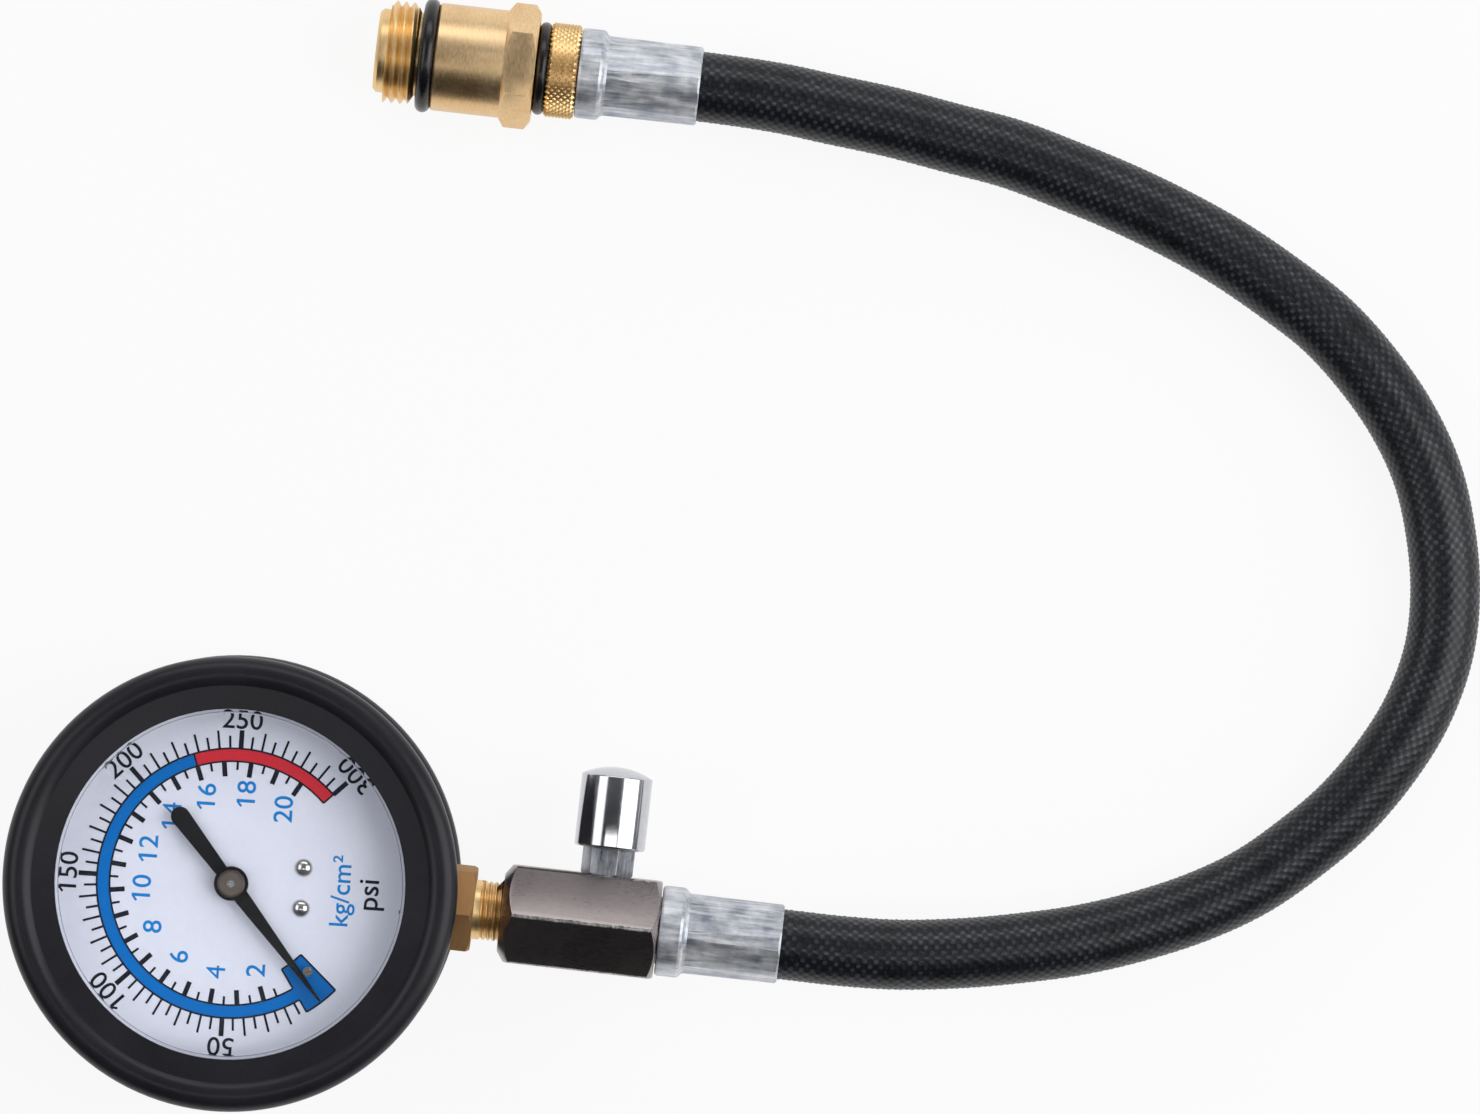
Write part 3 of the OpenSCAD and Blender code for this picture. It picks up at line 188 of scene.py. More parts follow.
class DialSettings(bpy.types.PropertyGroup):
    band_inner: length("Band inside", "Inner radius of the coloured band", 21.2)
    band_outer: length("Band outside", "Outer radius of the coloured band", 23.45)
    line: length("Line", "Width of the band's outline", 0.32)
    thin_tick: length("Thin tick", "Width of the thin marks", 0.4)
    thick_tick: length("Thick tick", "Width of the thick marks", 0.85)
    digit_height: length("Digit height", "Height of the scale's digits", 3.3)
    ink: length("Ink", "Thickness of one printed layer", 0.02)
    digit_stretch: bpy.props.FloatProperty(
        name="Digit stretch", description="Width of the letters against the font's own", default=1.05)
    digit_weight: bpy.props.FloatProperty(
        name="Digit weight", description="Thickening of the letters' strokes, as a share of the type size",
        default=0.008)
    red_from: bpy.props.FloatProperty(
        name="Red from", description="Pressure in kg/cm2 at which the band turns red", default=16)
    black: colour("Black", "Colour of the marks and of the psi digits", "#1d1f29")
    blue: colour("Blue", "Colour of the band and of the block at zero", "#006cbd")
    blue_digits: colour("Blue digits", "Colour of the kg/cm2 digits", "#1480c9")
    red: colour("Red", "Colour of the band's end", "#d12f3b")


class FittingSettings(bpy.types.PropertyGroup):
    plug_pitch: length("Adapter thread", "Pitch of the adapter's outer thread", 1.5)
    plug_depth: length("Adapter thread depth", "Depth of the adapter's outer thread", 0.92)
    stem_pitch: length("Stem thread", "Pitch of the pipe thread on the stem", 0.907)
    stem_depth: length("Stem thread depth", "Depth of the pipe thread on the stem", 0.4)
    knurl_pitch: length("Knurl", "Spacing of the collar's diamonds", 1.15)
    knurl_height: length("Knurl height", "Height of the collar's diamonds", 0.26)
    worn_edge: length("Worn edge", "Reach of the ridges that handling has rounded", 0.7)


class StageSettings(bpy.types.PropertyGroup):
    camera_height: length("Camera height", "Height of the camera above the floor", 2200)
    view_width: length("View width", "Width of the floor that the camera sees", 260.3)
    floor_size: length("Floor size", "Width of the floor", 4000)
    floor: colour("Floor", "Colour of the floor", "#f4f4f6")


def add_node(tree, kind, inputs=None, **settings):
    """Adds a node, sets its properties, and sets or links its inputs."""
    node = tree.nodes.new(kind)
    for name, value in settings.items():
        setattr(node, name, value)
    for name, value in (inputs or {}).items():
        if isinstance(value, bpy.types.NodeSocket):
            tree.links.new(value, node.inputs[name])
        else:
            node.inputs[name].default_value = value
    return node


def new_material(name):
    """A material with nothing in its tree but the output, and that tree."""
    material = bpy.data.materials.new(name)
    material.use_nodes = True
    material.node_tree.nodes.clear()
    return material, material.node_tree


def shader_to_output(tree, shader):
    """Ends a material's tree with its shader."""
    add_node(tree, "ShaderNodeOutputMaterial", {"Surface": shader.outputs[0]})


def grained(name, dark, light, roughness, grain, stretch=(1, 1, 1), bump=0.0, blotch=12.0, **sockets):
    """A material that follows a grain and larger blotches, with their sizes in millimetres."""
    material, tree = new_material(name)
    place = add_node(tree, "ShaderNodeTexCoord").outputs["Object"]
    along = add_node(tree, "ShaderNodeMapping", {
        "Vector": place, "Scale": [s / (grain * MM) for s in stretch]})
    fine = add_node(tree, "ShaderNodeTexNoise", {
        "Vector": along.outputs["Vector"], "Scale": 1.0, "Detail": 4.0, "Roughness": 0.6})
    broad = add_node(tree, "ShaderNodeTexNoise", {
        "Vector": place, "Scale": 1 / (blotch * MM), "Detail": 3.0, "Roughness": 0.55})
    both = add_node(tree, "ShaderNodeMath", {
        0: fine.outputs["Fac"], 1: broad.outputs["Fac"]}, operation="ADD")
    share = add_node(tree, "ShaderNodeMapRange", {
        "Value": both.outputs[0], "From Min": 0.7, "From Max": 1.3})
    tint = add_node(tree, "ShaderNodeMix", {
        "Factor": share.outputs["Result"], "A": linear(dark), "B": linear(light)}, data_type="RGBA")
    gloss = add_node(tree, "ShaderNodeMapRange", {
        "Value": both.outputs[0], "From Min": 0.7, "From Max": 1.3,
        "To Min": roughness[0], "To Max": roughness[1]})
    inputs = {"Base Color": tint.outputs["Result"], "Roughness": gloss.outputs["Result"], **sockets}
    if bump:
        relief = add_node(tree, "ShaderNodeBump", {
            "Height": fine.outputs["Fac"], "Distance": bump * MM, "Strength": 1.0})
        inputs["Normal"] = relief.outputs["Normal"]
    shader_to_output(tree, add_node(tree, "ShaderNodeBsdfPrincipled", inputs))
    return material


def clear_acrylic():
    """Cast acrylic: clear and colourless, with a polished face. Light passes it to reach the dial."""
    material, tree = new_material("Clear acrylic")
    clear = add_node(tree, "ShaderNodeBsdfPrincipled", {
        "Base Color": linear("#fbfcff"), "Roughness": 0.03, "IOR": 1.49, "Transmission Weight": 1.0})
    through = add_node(tree, "ShaderNodeBsdfTransparent")
    rays = add_node(tree, "ShaderNodeLightPath")
    mixed = add_node(tree, "ShaderNodeMixShader", {
        0: rays.outputs["Is Shadow Ray"], 1: clear.outputs[0], 2: through.outputs[0]})
    shader_to_output(tree, mixed)
    return material


def hose_marks(settings):
    """Number of cloth marks round the hose."""
    return round(math.pi * settings.diameter / settings.weave_pitch)


def hose_cover(settings):
    """Vulcanised rubber cover: satin black, with the cloth that it was cured in pressed into it, and a
    painted highlight on the cloth marks' tops.
    """
    material, tree = new_material(HOSE_FINISH)
    strip = add_node(tree, "ShaderNodeUVMap", uv_map="Along hose").outputs["UV"]
    marks = hose_marks(settings)
    axes = add_node(tree, "ShaderNodeSeparateXYZ", {"Vector": strip})
    waves = []
    for axis, spacing in (("X", settings.weave_pitch), ("Y", math.pi * settings.diameter / marks)):
        turns = add_node(tree, "ShaderNodeMath", {
            0: axes.outputs[axis], 1: 2 * math.pi / spacing}, operation="MULTIPLY")
        waves.append(add_node(tree, "ShaderNodeMath", {0: turns.outputs[0]}, operation="COSINE"))
    cloth = add_node(tree, "ShaderNodeMath", {
        0: waves[0].outputs[0], 1: waves[1].outputs[0]}, operation="MULTIPLY")
    glint_patches = add_node(tree, "ShaderNodeTexNoise", {
        "Vector": strip, "Scale": 1 / (5 * MM), "Detail": 6.0, "Roughness": 0.75})
    # The cloth marks' tops take the worn cover colour in patches: a painted highlight standing in for the
    # glints on the weave
    worn = add_node(tree, "ShaderNodeMapRange", {
        "Value": cloth.outputs[0], "From Min": -0.1, "From Max": 1.0})
    glint_patch_share = add_node(tree, "ShaderNodeMapRange", {
        "Value": glint_patches.outputs["Fac"], "From Min": 0.38, "From Max": 0.68, "To Max": 0.9})
    painted_glint = add_node(tree, "ShaderNodeMath", {
        0: worn.outputs["Result"], 1: glint_patch_share.outputs["Result"]}, operation="MULTIPLY")
    tint = add_node(tree, "ShaderNodeMix", {
        "Factor": painted_glint.outputs[0], "A": settings.cover, "B": settings.worn}, data_type="RGBA")
    gloss = add_node(tree, "ShaderNodeMapRange", {
        "Value": cloth.outputs[0], "From Min": -1.0, "To Min": 0.46, "To Max": 0.22})
    shader_to_output(tree, add_node(tree, "ShaderNodeBsdfPrincipled", {
        "Base Color": tint.outputs["Result"], "Roughness": gloss.outputs["Result"],
        "Specular IOR Level": 0.38}))
    return material


def ink(name, tone):
    """Screen-printed ink: an even, slightly raised and glossy coat."""
    material, tree = new_material(name)
    place = add_node(tree, "ShaderNodeTexCoord").outputs["Object"]
    mottle = add_node(tree, "ShaderNodeTexNoise", {"Vector": place, "Scale": 1 / (0.6 * MM), "Detail": 3.0})
    gloss = add_node(tree, "ShaderNodeMapRange", {
        "Value": mottle.outputs["Fac"], "To Min": 0.16, "To Max": 0.26})
    shader_to_output(tree, add_node(tree, "ShaderNodeBsdfPrincipled", {
        "Base Color": tone, "Roughness": gloss.outputs["Result"], "Specular IOR Level": 0.3}))
    return material


# Finish of each material slot of the record: name, dark and light colour, roughness, grain in millimetres,
# and what else it needs
FINISHES = {
    # Moulded rubber: an even satin black with a very fine leather-like skin from the mould
    "boot_rubber": ("Moulded nitrile rubber", "#1d1d22", "#26262c", (0.28, 0.38), 0.3,
                    {"Specular IOR Level": 0.26, "bump": 0.008}),
    # Zinc on pressed sheet: pale grey spangle with drawing lines
    "case_steel": ("Zinc-plated sheet steel", "#9fa2a6", "#bcbfc3", (0.32, 0.5), 1.5, {"Metallic": 1.0}),
    # Nickel over turned steel: warm silver, nearly polished
    "screw_steel": ("Nickel-plated steel", "#cfccc6", "#e2dfda", (0.12, 0.22), 0.4, {"Metallic": 1.0}),
    # Stove enamel on aluminium sheet: smooth bluish white with a faint orange peel
    "dial_enamel": ("White stove enamel", "#d9dce9", "#e1e4ef", (0.3, 0.38), 0.8, {"bump": 0.002}),
    # Spray lacquer on thin sheet: deep black with a soft sheen
    "pointer_black": ("Black spray lacquer", "#0e0e10", "#161618", (0.16, 0.26), 0.4, {"bump": 0.002}),
    # Oil-blackened and turned: brownish grey with fine rings
    "hub_steel": ("Burnished steel", "#6a625c", "#82776d", (0.3, 0.44), 0.2, {"Metallic": 1.0}),
    # Ground rod: bright grey with a fine grinding lay
    "arbor_steel": ("Ground silver steel", "#aeb0b4", "#c9cbcf", (0.2, 0.34), 0.25, {"Metallic": 1.0}),
    # Rolled sheet, stamped: pale yellow with a straight rolling lay
    "movement_brass": ("Rolled brass sheet", "#bf9a4f", "#d8b66c", (0.25, 0.4), 0.3,
                       {"Metallic": 1.0, "stretch": (0.06, 1, 1)}),
    # Drawn strip: red gold, slightly stained
    "spring_bronze": ("Phosphor bronze", "#a87440", "#c99a5e", (0.28, 0.42), 0.4, {"Metallic": 1.0}),
    # Turned from hexagonal bar, tarnished by handling: brown gold
    "stem_brass": ("Tarnished brass bar", "#a17c54", "#bb9264", (0.55, 0.7), 0.35,
                   {"Metallic": 1.0, "stretch": (1, 0.08, 0.08), "bump": 0.003}),
    # Black nickel plating on milled bar: dark warm grey with a fine even grain
    "block_steel": ("Black nickel plate", "#8a8281", "#9a9190", (0.25, 0.33), 0.35,
                    {"Metallic": 1.0, "stretch": (0.3, 1, 1), "bump": 0.002}),
    # Zinc plating with a clear passivation, streaked along the valve by spanners
    "valve_steel": ("Passivated steel", "#5f6167", "#b4b7bf", (0.26, 0.4), 0.5,
                    {"Metallic": 1.0, "stretch": (1, 0.15, 1), "blotch": 3.0}),
    # Decorative chrome: a bluish mirror with faint polishing haze
    "cap_chrome": ("Decorative chrome", "#c2c3c8", "#d0d1d5", (0.11, 0.17), 1.2, {"Metallic": 1.0}),
    # Cold-wound spring wire: dark bright grey
    "spring_steel": ("Spring wire", "#8b8d91", "#a4a6aa", (0.25, 0.38), 0.3, {"Metallic": 1.0}),
    # Moulded and tumbled seal rubber: clean glossy black
    "seal_rubber": ("Moulded seal rubber", "#0c0c0e", "#131316", (0.22, 0.32), 0.5, {"bump": 0.002}),
    # Turned free-cutting brass: yellow gold with turning rings
    "fitting_brass": ("Turned brass", "#e8c083", "#f8d8a2", (0.3, 0.44), 0.3,
                      {"Metallic": 1.0, "stretch": (1, 0.05, 0.05)}),
    # Drawn aluminium tube after the crimping jaws: dull pale grey, scuffed along its length; the strong light
    # and dark of its streaks is painted reflection
    "ferrule_alloy": ("Crimped aluminium", "#8f96a4", "#f4f5f7", (0.32, 0.58), 0.7,
                      {"Metallic": 0.75, "stretch": (0.1, 1, 1), "bump": 0.012, "blotch": 4.0}),
    # Brass turned and then brushed: satin gold with close rings round the axis
    "adapter_brass": ("Satin-turned brass", "#dbb27d", "#f8d9aa", (0.28, 0.42), 0.24,
                      {"Metallic": 1.0, "stretch": (1, 0.25, 0.25), "bump": 0.006}),
}


def finishes(*slots):
    """The finishes of some slots, as materials."""
    return [bpy.data.materials[FINISHES[slot][0]] for slot in slots]


def take_up(piece):
    """Makes one object the only selected and the active one."""
    bpy.ops.object.select_all(action="DESELECT")
    piece.select_set(True)
    bpy.context.view_layer.objects.active = piece


def join(pieces, name):
    """Joins objects to one piece, with its place in its mesh."""
    take_up(pieces[0])
    for piece in pieces[1:]:
        piece.select_set(True)
    if len(pieces) > 1:
        bpy.ops.object.join()
    pieces[0].name = pieces[0].data.name = name
    return pieces[0]


def dress(piece, materials, body=BODY):
    """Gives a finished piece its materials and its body."""
    piece.data.materials.clear()
    for material in materials:
        piece.data.materials.append(material)
    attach(piece, body)
    return piece


def ringed_mesh(name, rings, loop):
    """A mesh over rings of points: a closed loop of rings, or a bar with both its ends filled."""
    sides = len(rings[0])
    spans = len(rings) if loop else len(rings) - 1
    faces = []
    for i in range(spans):
        a, b = i * sides, (i + 1) % len(rings) * sides
        faces += [(a + j, a + (j + 1) % sides, b + (j + 1) % sides, b + j) for j in range(sides)]
    if not loop:
        last = (len(rings) - 1) * sides
        faces += [tuple(range(sides - 1, -1, -1)), tuple(range(last, last + sides))]
    mesh = bpy.data.meshes.new(name)
    mesh.from_pydata([p for ring in rings for p in ring], [], faces)
    piece = bpy.data.objects.new(name, mesh)
    bpy.context.scene.collection.objects.link(piece)
    take_up(piece)
    bpy.ops.object.mode_set(mode="EDIT")
    bpy.ops.mesh.select_all(action="SELECT")
    bpy.ops.mesh.normals_make_consistent(inside=False)
    bpy.ops.object.mode_set(mode="OBJECT")
    return piece


def merged_copy(node, name):
    """A copy of a CAD node with its loose triangles merged into whole faces."""
    piece = bpy.data.objects.new(name, frame["nodes"][node].data.copy())
    piece.data.name = name
    bpy.context.scene.collection.objects.link(piece)
    take_up(piece)
    bpy.ops.mesh.customdata_custom_splitnormals_clear()
    bpy.ops.object.mode_set(mode="EDIT")
    bpy.ops.mesh.select_all(action="SELECT")
    bpy.ops.mesh.mark_sharp(clear=True)
    bpy.ops.mesh.remove_doubles(threshold=0.001 * MM)
    bpy.ops.mesh.dissolve_limited(angle_limit=math.radians(0.3))
    bpy.ops.object.mode_set(mode="OBJECT")
    return piece


def round_edges(piece, width, slot=0):
    """Rounds a piece's sharp edges, which take the material in that slot, and smooths the rest."""
    take_up(piece)
    bevel = piece.modifiers.new("Worn edges", "BEVEL")
    bevel.width = width
    bevel.segments = 2
    bevel.limit_method = "ANGLE"
    bevel.angle_limit = math.radians(35)
    bevel.material = slot
    bpy.ops.object.modifier_apply(modifier=bevel.name)
    bpy.ops.object.shade_smooth_by_angle(angle=math.radians(30))


def wear_ridges(piece, width):
    """Rounds the long outer ridges of a bar along X, which take the material in its second slot."""
    take_up(piece)
    bpy.ops.object.mode_set(mode="EDIT")
    bpy.ops.mesh.select_mode(type="EDGE")
    bpy.ops.mesh.select_all(action="DESELECT")
    bpy.ops.object.mode_set(mode="OBJECT")
    places = np.array([v.co for v in piece.data.vertices])
    low, high = places.min(axis=0), places.max(axis=0)
    out = np.linalg.norm((places - (low + high) / 2)[:, 1:], axis=1)
    long_enough, far_out = (high[0] - low[0]) / 2, 0.45 * (high[2] - low[2])
    for edge in piece.data.edges:
        ends = list(edge.vertices)
        edge.select = bool(np.ptp(places[ends, 0]) > long_enough and out[ends].min() > far_out)
    bpy.ops.object.mode_set(mode="EDIT")
    bpy.ops.mesh.bevel(offset=width, segments=3, material=1)
    bpy.ops.object.mode_set(mode="OBJECT")


def cut_thread(piece, axis, from_x, to_x, crest, depth, pitch):
    """Cuts a V-shaped thread round an axis along X into a piece."""
    over = crest + THREAD_OVER
    half = THREAD_HALF * pitch * (depth + THREAD_OVER) / depth
    rings = []
    for k in range(int((to_x - from_x) / pitch * THREAD_STEPS) + 1):
        x, turn = from_x + pitch * k / THREAD_STEPS, 2 * math.pi * k / THREAD_STEPS
        ring = []
        for shift, r in ((-half, over), (0, crest - depth), (half, over)):
            ring.append((x + shift, axis[0] + r * math.cos(turn), axis[1] + r * math.sin(turn)))
        rings.append(ring)
    cutter = ringed_mesh("thread_cutter", rings, False)
    take_up(piece)
    cut = piece.modifiers.new("Thread", "BOOLEAN")
    cut.object = cutter
    cut.operation = "DIFFERENCE"
    cut.solver = "EXACT"
    bpy.ops.object.modifier_apply(modifier=cut.name)
    bpy.data.objects.remove(cutter)


def hose_line(spacing):
    """Evenly spaced points of a smooth curve through the hose's route."""
    route = [Vector(p) * MM for p in HOSE_ROUTE]
    points = []
    for i in range(len(route) - 1):
        before, here, there, after = (route[min(max(k, 0), len(route) - 1)] for k in range(i - 1, i + 3))
        leave, arrive = here + (there - before) / 6, there - (after - here) / 6
        points += interpolate_bezier(here, leave, arrive, there, CURVE_POINTS)[:-1]
    points = np.array(points + [route[-1]])
    run = np.concatenate([[0], np.cumsum(np.linalg.norm(np.diff(points, axis=0), axis=1))])
    at = np.linspace(0, run[-1], round(run[-1] / spacing) + 1)
    return np.stack([np.interp(at, run, points[:, i]) for i in range(3)], axis=1), at


class TESTER_OT_lay_hose(bpy.types.Operator):
    """Lays the hose along its route, with the cloth marks of its wrapping in the cover"""

    bl_idname = "tester.lay_hose"
    bl_label = "Lay hose"

    def execute(self, context):
        hose = context.scene.tester_hose
        # Steps to a mark of the cover, and how many of its rings one ring of the plain bore takes
        steps, bore_stride = 4, 16
        marks = hose_marks(hose)
        sides = marks * steps
        line, run = hose_line(hose.weave_pitch / steps)
        way = np.gradient(line, axis=0)
        way /= np.linalg.norm(way, axis=1)[:, None]
        side = np.cross((0, 0, 1), way)
        side /= np.linalg.norm(side, axis=1)[:, None]
        up = np.cross(way, side)
        turn = np.arange(sides) * 2 * math.pi / sides
        weave = np.outer(np.cos(2 * math.pi * run / hose.weave_pitch), np.cos(marks * turn))
        reach = hose.diameter / 2 - hose.weave_depth * (1 - weave) / 2
        flat = np.cos(turn)[None, :, None] * side[:, None] + np.sin(turn)[None, :, None] * up[:, None]
        outer = line[:, None] + reach[:, :, None] * flat
        inner = (line[:, None] + hose.bore / 2 * flat)[::-bore_stride]
        piece = ringed_mesh("hose_cover", [r.tolist() for r in outer] + [r.tolist() for r in inner], True)
        strip = piece.data.uv_layers.new(name="Along hose")
        rows = np.concatenate([run, run[::-bore_stride]])
        for face in piece.data.polygons:
            columns = [piece.data.loops[i].vertex_index % sides for i in face.loop_indices]
            seam = max(columns) - min(columns) > 1
            for i, column in zip(face.loop_indices, columns):
                around = column + (sides if seam and column == 0 else 0)
                strip.data[i].uv = (rows[piece.data.loops[i].vertex_index // sides],
                                    around / sides * math.pi * hose.diameter)
        bpy.ops.object.shade_smooth()
        dress(piece, [hose_cover(hose)])
        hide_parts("hose")
        return {"FINISHED"}


class TESTER_OT_declare_hose(bpy.types.Operator):
    """Works out points along the hose's path and gathers the pieces on its far end"""

    bl_idname = "tester.declare_hose"
    bl_label = "Declare hose"

    def execute(self, context):
        line, run = hose_line(PATH_SPACING)
        ends = [frame["nodes"][n] for n in HOSE_END_NODES]
        ends += [bpy.data.objects[n] for n in ("adapter_threaded", "hose_fitting_edged", "collar_knurl")]
        return {"FINISHED"}


def spun(strip, from_deg, to_deg, copies=0):
    """Spins a mesh clockwise about the dial's middle, to a sector of a ring or to copies on the way."""
    take_up(strip)
    strip.rotation_euler.z = math.radians(from_deg)
    bpy.ops.object.transform_apply(location=True, rotation=True, scale=True)
    bpy.ops.object.mode_set(mode="EDIT")
    bpy.ops.mesh.select_all(action="SELECT")
    steps = copies or max(2, round((from_deg - to_deg) / SECTOR_STEP_DEG))
    bpy.ops.mesh.spin(steps=steps, dupli=bool(copies), angle=math.radians(from_deg - to_deg),
                      center=(0, 0, 0), axis=(0, 0, 1))
    bpy.ops.mesh.select_all(action="SELECT")
    bpy.ops.mesh.normals_make_consistent(inside=False)
    bpy.ops.object.mode_set(mode="OBJECT")
    return strip


def radial_strip(inner, outer, low, high):
    """An upright strip on +X between two radii, to be spun to a sector."""
    bpy.ops.object.select_all(action="DESELECT")
    bpy.ops.mesh.primitive_plane_add(size=1, rotation=(math.pi / 2, 0, 0))
    strip = bpy.context.object
    strip.scale = (outer - inner, high - low, 1)
    strip.location = ((inner + outer) / 2, 0, (low + high) / 2)
    bpy.ops.object.transform_apply(location=True, rotation=True, scale=True)
    return strip


def tick(inner, outer, width, low, high):
    """A mark on +X between two radii."""
    strip = radial_strip(inner, outer, low, high)
    bpy.ops.object.mode_set(mode="EDIT")
    bpy.ops.mesh.extrude_region_move(TRANSFORM_OT_translate={"value": (0, width, 0)})
    bpy.ops.mesh.select_all(action="SELECT")
    bpy.ops.transform.translate(value=(0, -width / 2, 0))
    bpy.ops.object.mode_set(mode="OBJECT")
    return strip


def flag_first_digit(text):
    """Adds the slanting stroke to a number's first digit, a 1, which is a plain bar in the font."""
    left = min(v.co.x for v in text.data.vertices)
    top = max(v.co.y for v in text.data.vertices)
    height = top - min(v.co.y for v in text.data.vertices)
    bpy.ops.object.select_all(action="DESELECT")
    bpy.ops.mesh.primitive_cube_add(
        size=1, location=(left - FLAG_LEFT * height, top - FLAG_DOWN * height, 0),
        rotation=(0, 0, math.radians(FLAG_DEG)))
    stroke = bpy.context.object
    stroke.scale = (FLAG_LENGTH * height, FLAG_WIDTH * height, FLAG_THICKNESS)
    bpy.ops.object.transform_apply(location=True, rotation=True, scale=True)
    return join([text, stroke], text.name)


def lettering(words, size, width, at, up_deg, low, high):
    """Letters as a thin mesh about a point: of a height or a width, with their tops in a direction."""
    dial = bpy.context.scene.tester_dial
    bpy.ops.object.select_all(action="DESELECT")
    bpy.ops.object.text_add()
    text = bpy.context.object
    text.data.body = words
    text.data.align_x, text.data.align_y = "CENTER", "CENTER"
    text.data.resolution_u = 4
    text.data.extrude = 0.5
    # The font's 4 closes up when it is thickened
    text.data.offset = 0 if "4" in words else dial.digit_weight
    bpy.ops.object.convert(target="MESH")
    if words.startswith("1"):
        text = flag_first_digit(text)
    corners = [Vector(c) for c in text.bound_box]
    low_corner, high_corner = (Vector(map(f, *corners)) for f in (min, max))
    scale = width / (high_corner.x - low_corner.x) if width else size / (high_corner.y - low_corner.y)
    middle = (low_corner + high_corner) / 2
    take_up(text)
    bpy.ops.object.mode_set(mode="EDIT")
    bpy.ops.mesh.select_all(action="SELECT")
    bpy.ops.transform.translate(value=(-middle.x, -middle.y, -middle.z))
    bpy.ops.mesh.remove_doubles(threshold=1e-5)
    bpy.ops.object.mode_set(mode="OBJECT")
    text.scale = (scale if width else scale * dial.digit_stretch, scale, high - low)
    text.rotation_euler.z = math.radians(up_deg - 90)
    text.location = (at[0], at[1], (low + high) / 2)
    bpy.ops.object.transform_apply(location=True, rotation=True, scale=True)
    return text


def on_dial(radius, degrees):
    """A point on the dial."""
    return radius * math.cos(math.radians(degrees)), radius * math.sin(math.radians(degrees))


class TESTER_OT_print_dial(bpy.types.Operator):
    """Prints the scale on the dial: the coloured band, the marks, the digits and the units"""

    bl_idname = "tester.print_dial"
    bl_label = "Print dial"

    def execute(self, context):
        dial = context.scene.tester_dial
        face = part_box("dial_plate")[1].z
        coat, line = dial.ink, dial.line
        inner, outer = dial.band_inner, dial.band_outer
        upright = 180 + DIAL_TURN_DEG

        def psi(value):
            return ZERO_DEG - PSI_DEG * value

        def kg(value):
            return ZERO_DEG - KG_DEG * value

        def sector(r0, r1, a0, a1, layer):
            return spun(radial_strip(r0, r1, face + layer * coat, face + (layer + 1) * coat), a0, a1)

        def outline(radius, a0, a1):
            return sector(radius - line / 2, radius + line / 2, a0, a1, 1)

        def marks(r0, r1, width, first, last, steps):
            return spun(tick(r0, r1, width, face, face + 2 * coat), first, last, steps)

        def label(words, radius, degrees, up):
            return lettering(words, dial.digit_height, 0, on_dial(radius, degrees), up, face, face + coat)

        def unit(words, width, radius, degrees):
            return lettering(words, 0, width, on_dial(radius, degrees), upright, face, face + coat)

        start, band_from = START_BLOCK_DEG
        turn_at, end_at = kg(dial.red_from), psi(PSI_END)
        blue = [
            sector(START_BLOCK_INNER, START_BLOCK_OUTER, start, band_from, 0),
            sector(inner, outer, band_from, turn_at, 0),
        ]
        red = [sector(inner, outer, turn_at, end_at, 0)]
        black = [
            outline(inner, band_from, end_at), outline(outer, band_from, end_at),
            outline(START_BLOCK_INNER, start, band_from), outline(START_BLOCK_OUTER, start, band_from),
        ]
        for r0, r1, degrees in (
            (START_BLOCK_INNER, START_BLOCK_OUTER, start), (START_BLOCK_INNER, inner, band_from),
            (outer, START_BLOCK_OUTER, band_from), (inner, outer, turn_at), (inner, outer, end_at),
        ):
            mark = tick(r0, r1, line, face, face + 2 * coat)
            mark.rotation_euler.z = math.radians(degrees)
            take_up(mark)
            bpy.ops.object.transform_apply(location=True, rotation=True, scale=True)
            black.append(mark)

        # In psi: a short mark half-way between tens, a long one at each ten and a thick one at each fifty
        black.append(marks(outer, SHORT_TICK_END, dial.thin_tick, psi(15), psi(295), 28))
        for first in (20, 30, 40, 60):
            steps = (290 - first) // 50
            last = first + 50 * steps
            black.append(marks(outer, LONG_TICK_END, dial.thin_tick, psi(first), psi(last), steps))
        black.append(marks(outer, LONG_TICK_END, dial.thick_tick, psi(50), psi(PSI_END), 5))
        # In kg/cm2: a thick mark at each one and a thin mark half-way between them
        black.append(marks(KG_THICK_START, inner, dial.thick_tick, kg(2), kg(20), 18))
        black.append(marks(KG_THIN_START, inner, dial.thin_tick, kg(1.5), kg(19.5), 18))
        for value in range(50, PSI_END, 50):
            black.append(label(str(value), PSI_DIGITS, psi(value), psi(value)))
        # The last number has its top towards the middle, and the others have it outwards
        black.append(label(str(PSI_END), PSI_END_DIGITS, psi(PSI_END), psi(PSI_END) + 180))
        black.append(unit(*PSI_WORD))
        blue_words = [label(str(value), KG_DIGITS, kg(value), upright) for value in range(2, 21, 2)]
        blue_words.append(unit(*KG_WORD))
        dress(join(black, "dial_marks"), [ink("Black screen ink", dial.black)])
        dress(join(blue, "dial_band_blue"), [ink("Blue screen ink", dial.blue)])
        dress(join(blue_words, "dial_digits_blue"), [ink("Blue digit ink", dial.blue_digits)])
        dress(join(red, "dial_band_red"), [ink("Red screen ink", dial.red)])
        return {"FINISHED"}


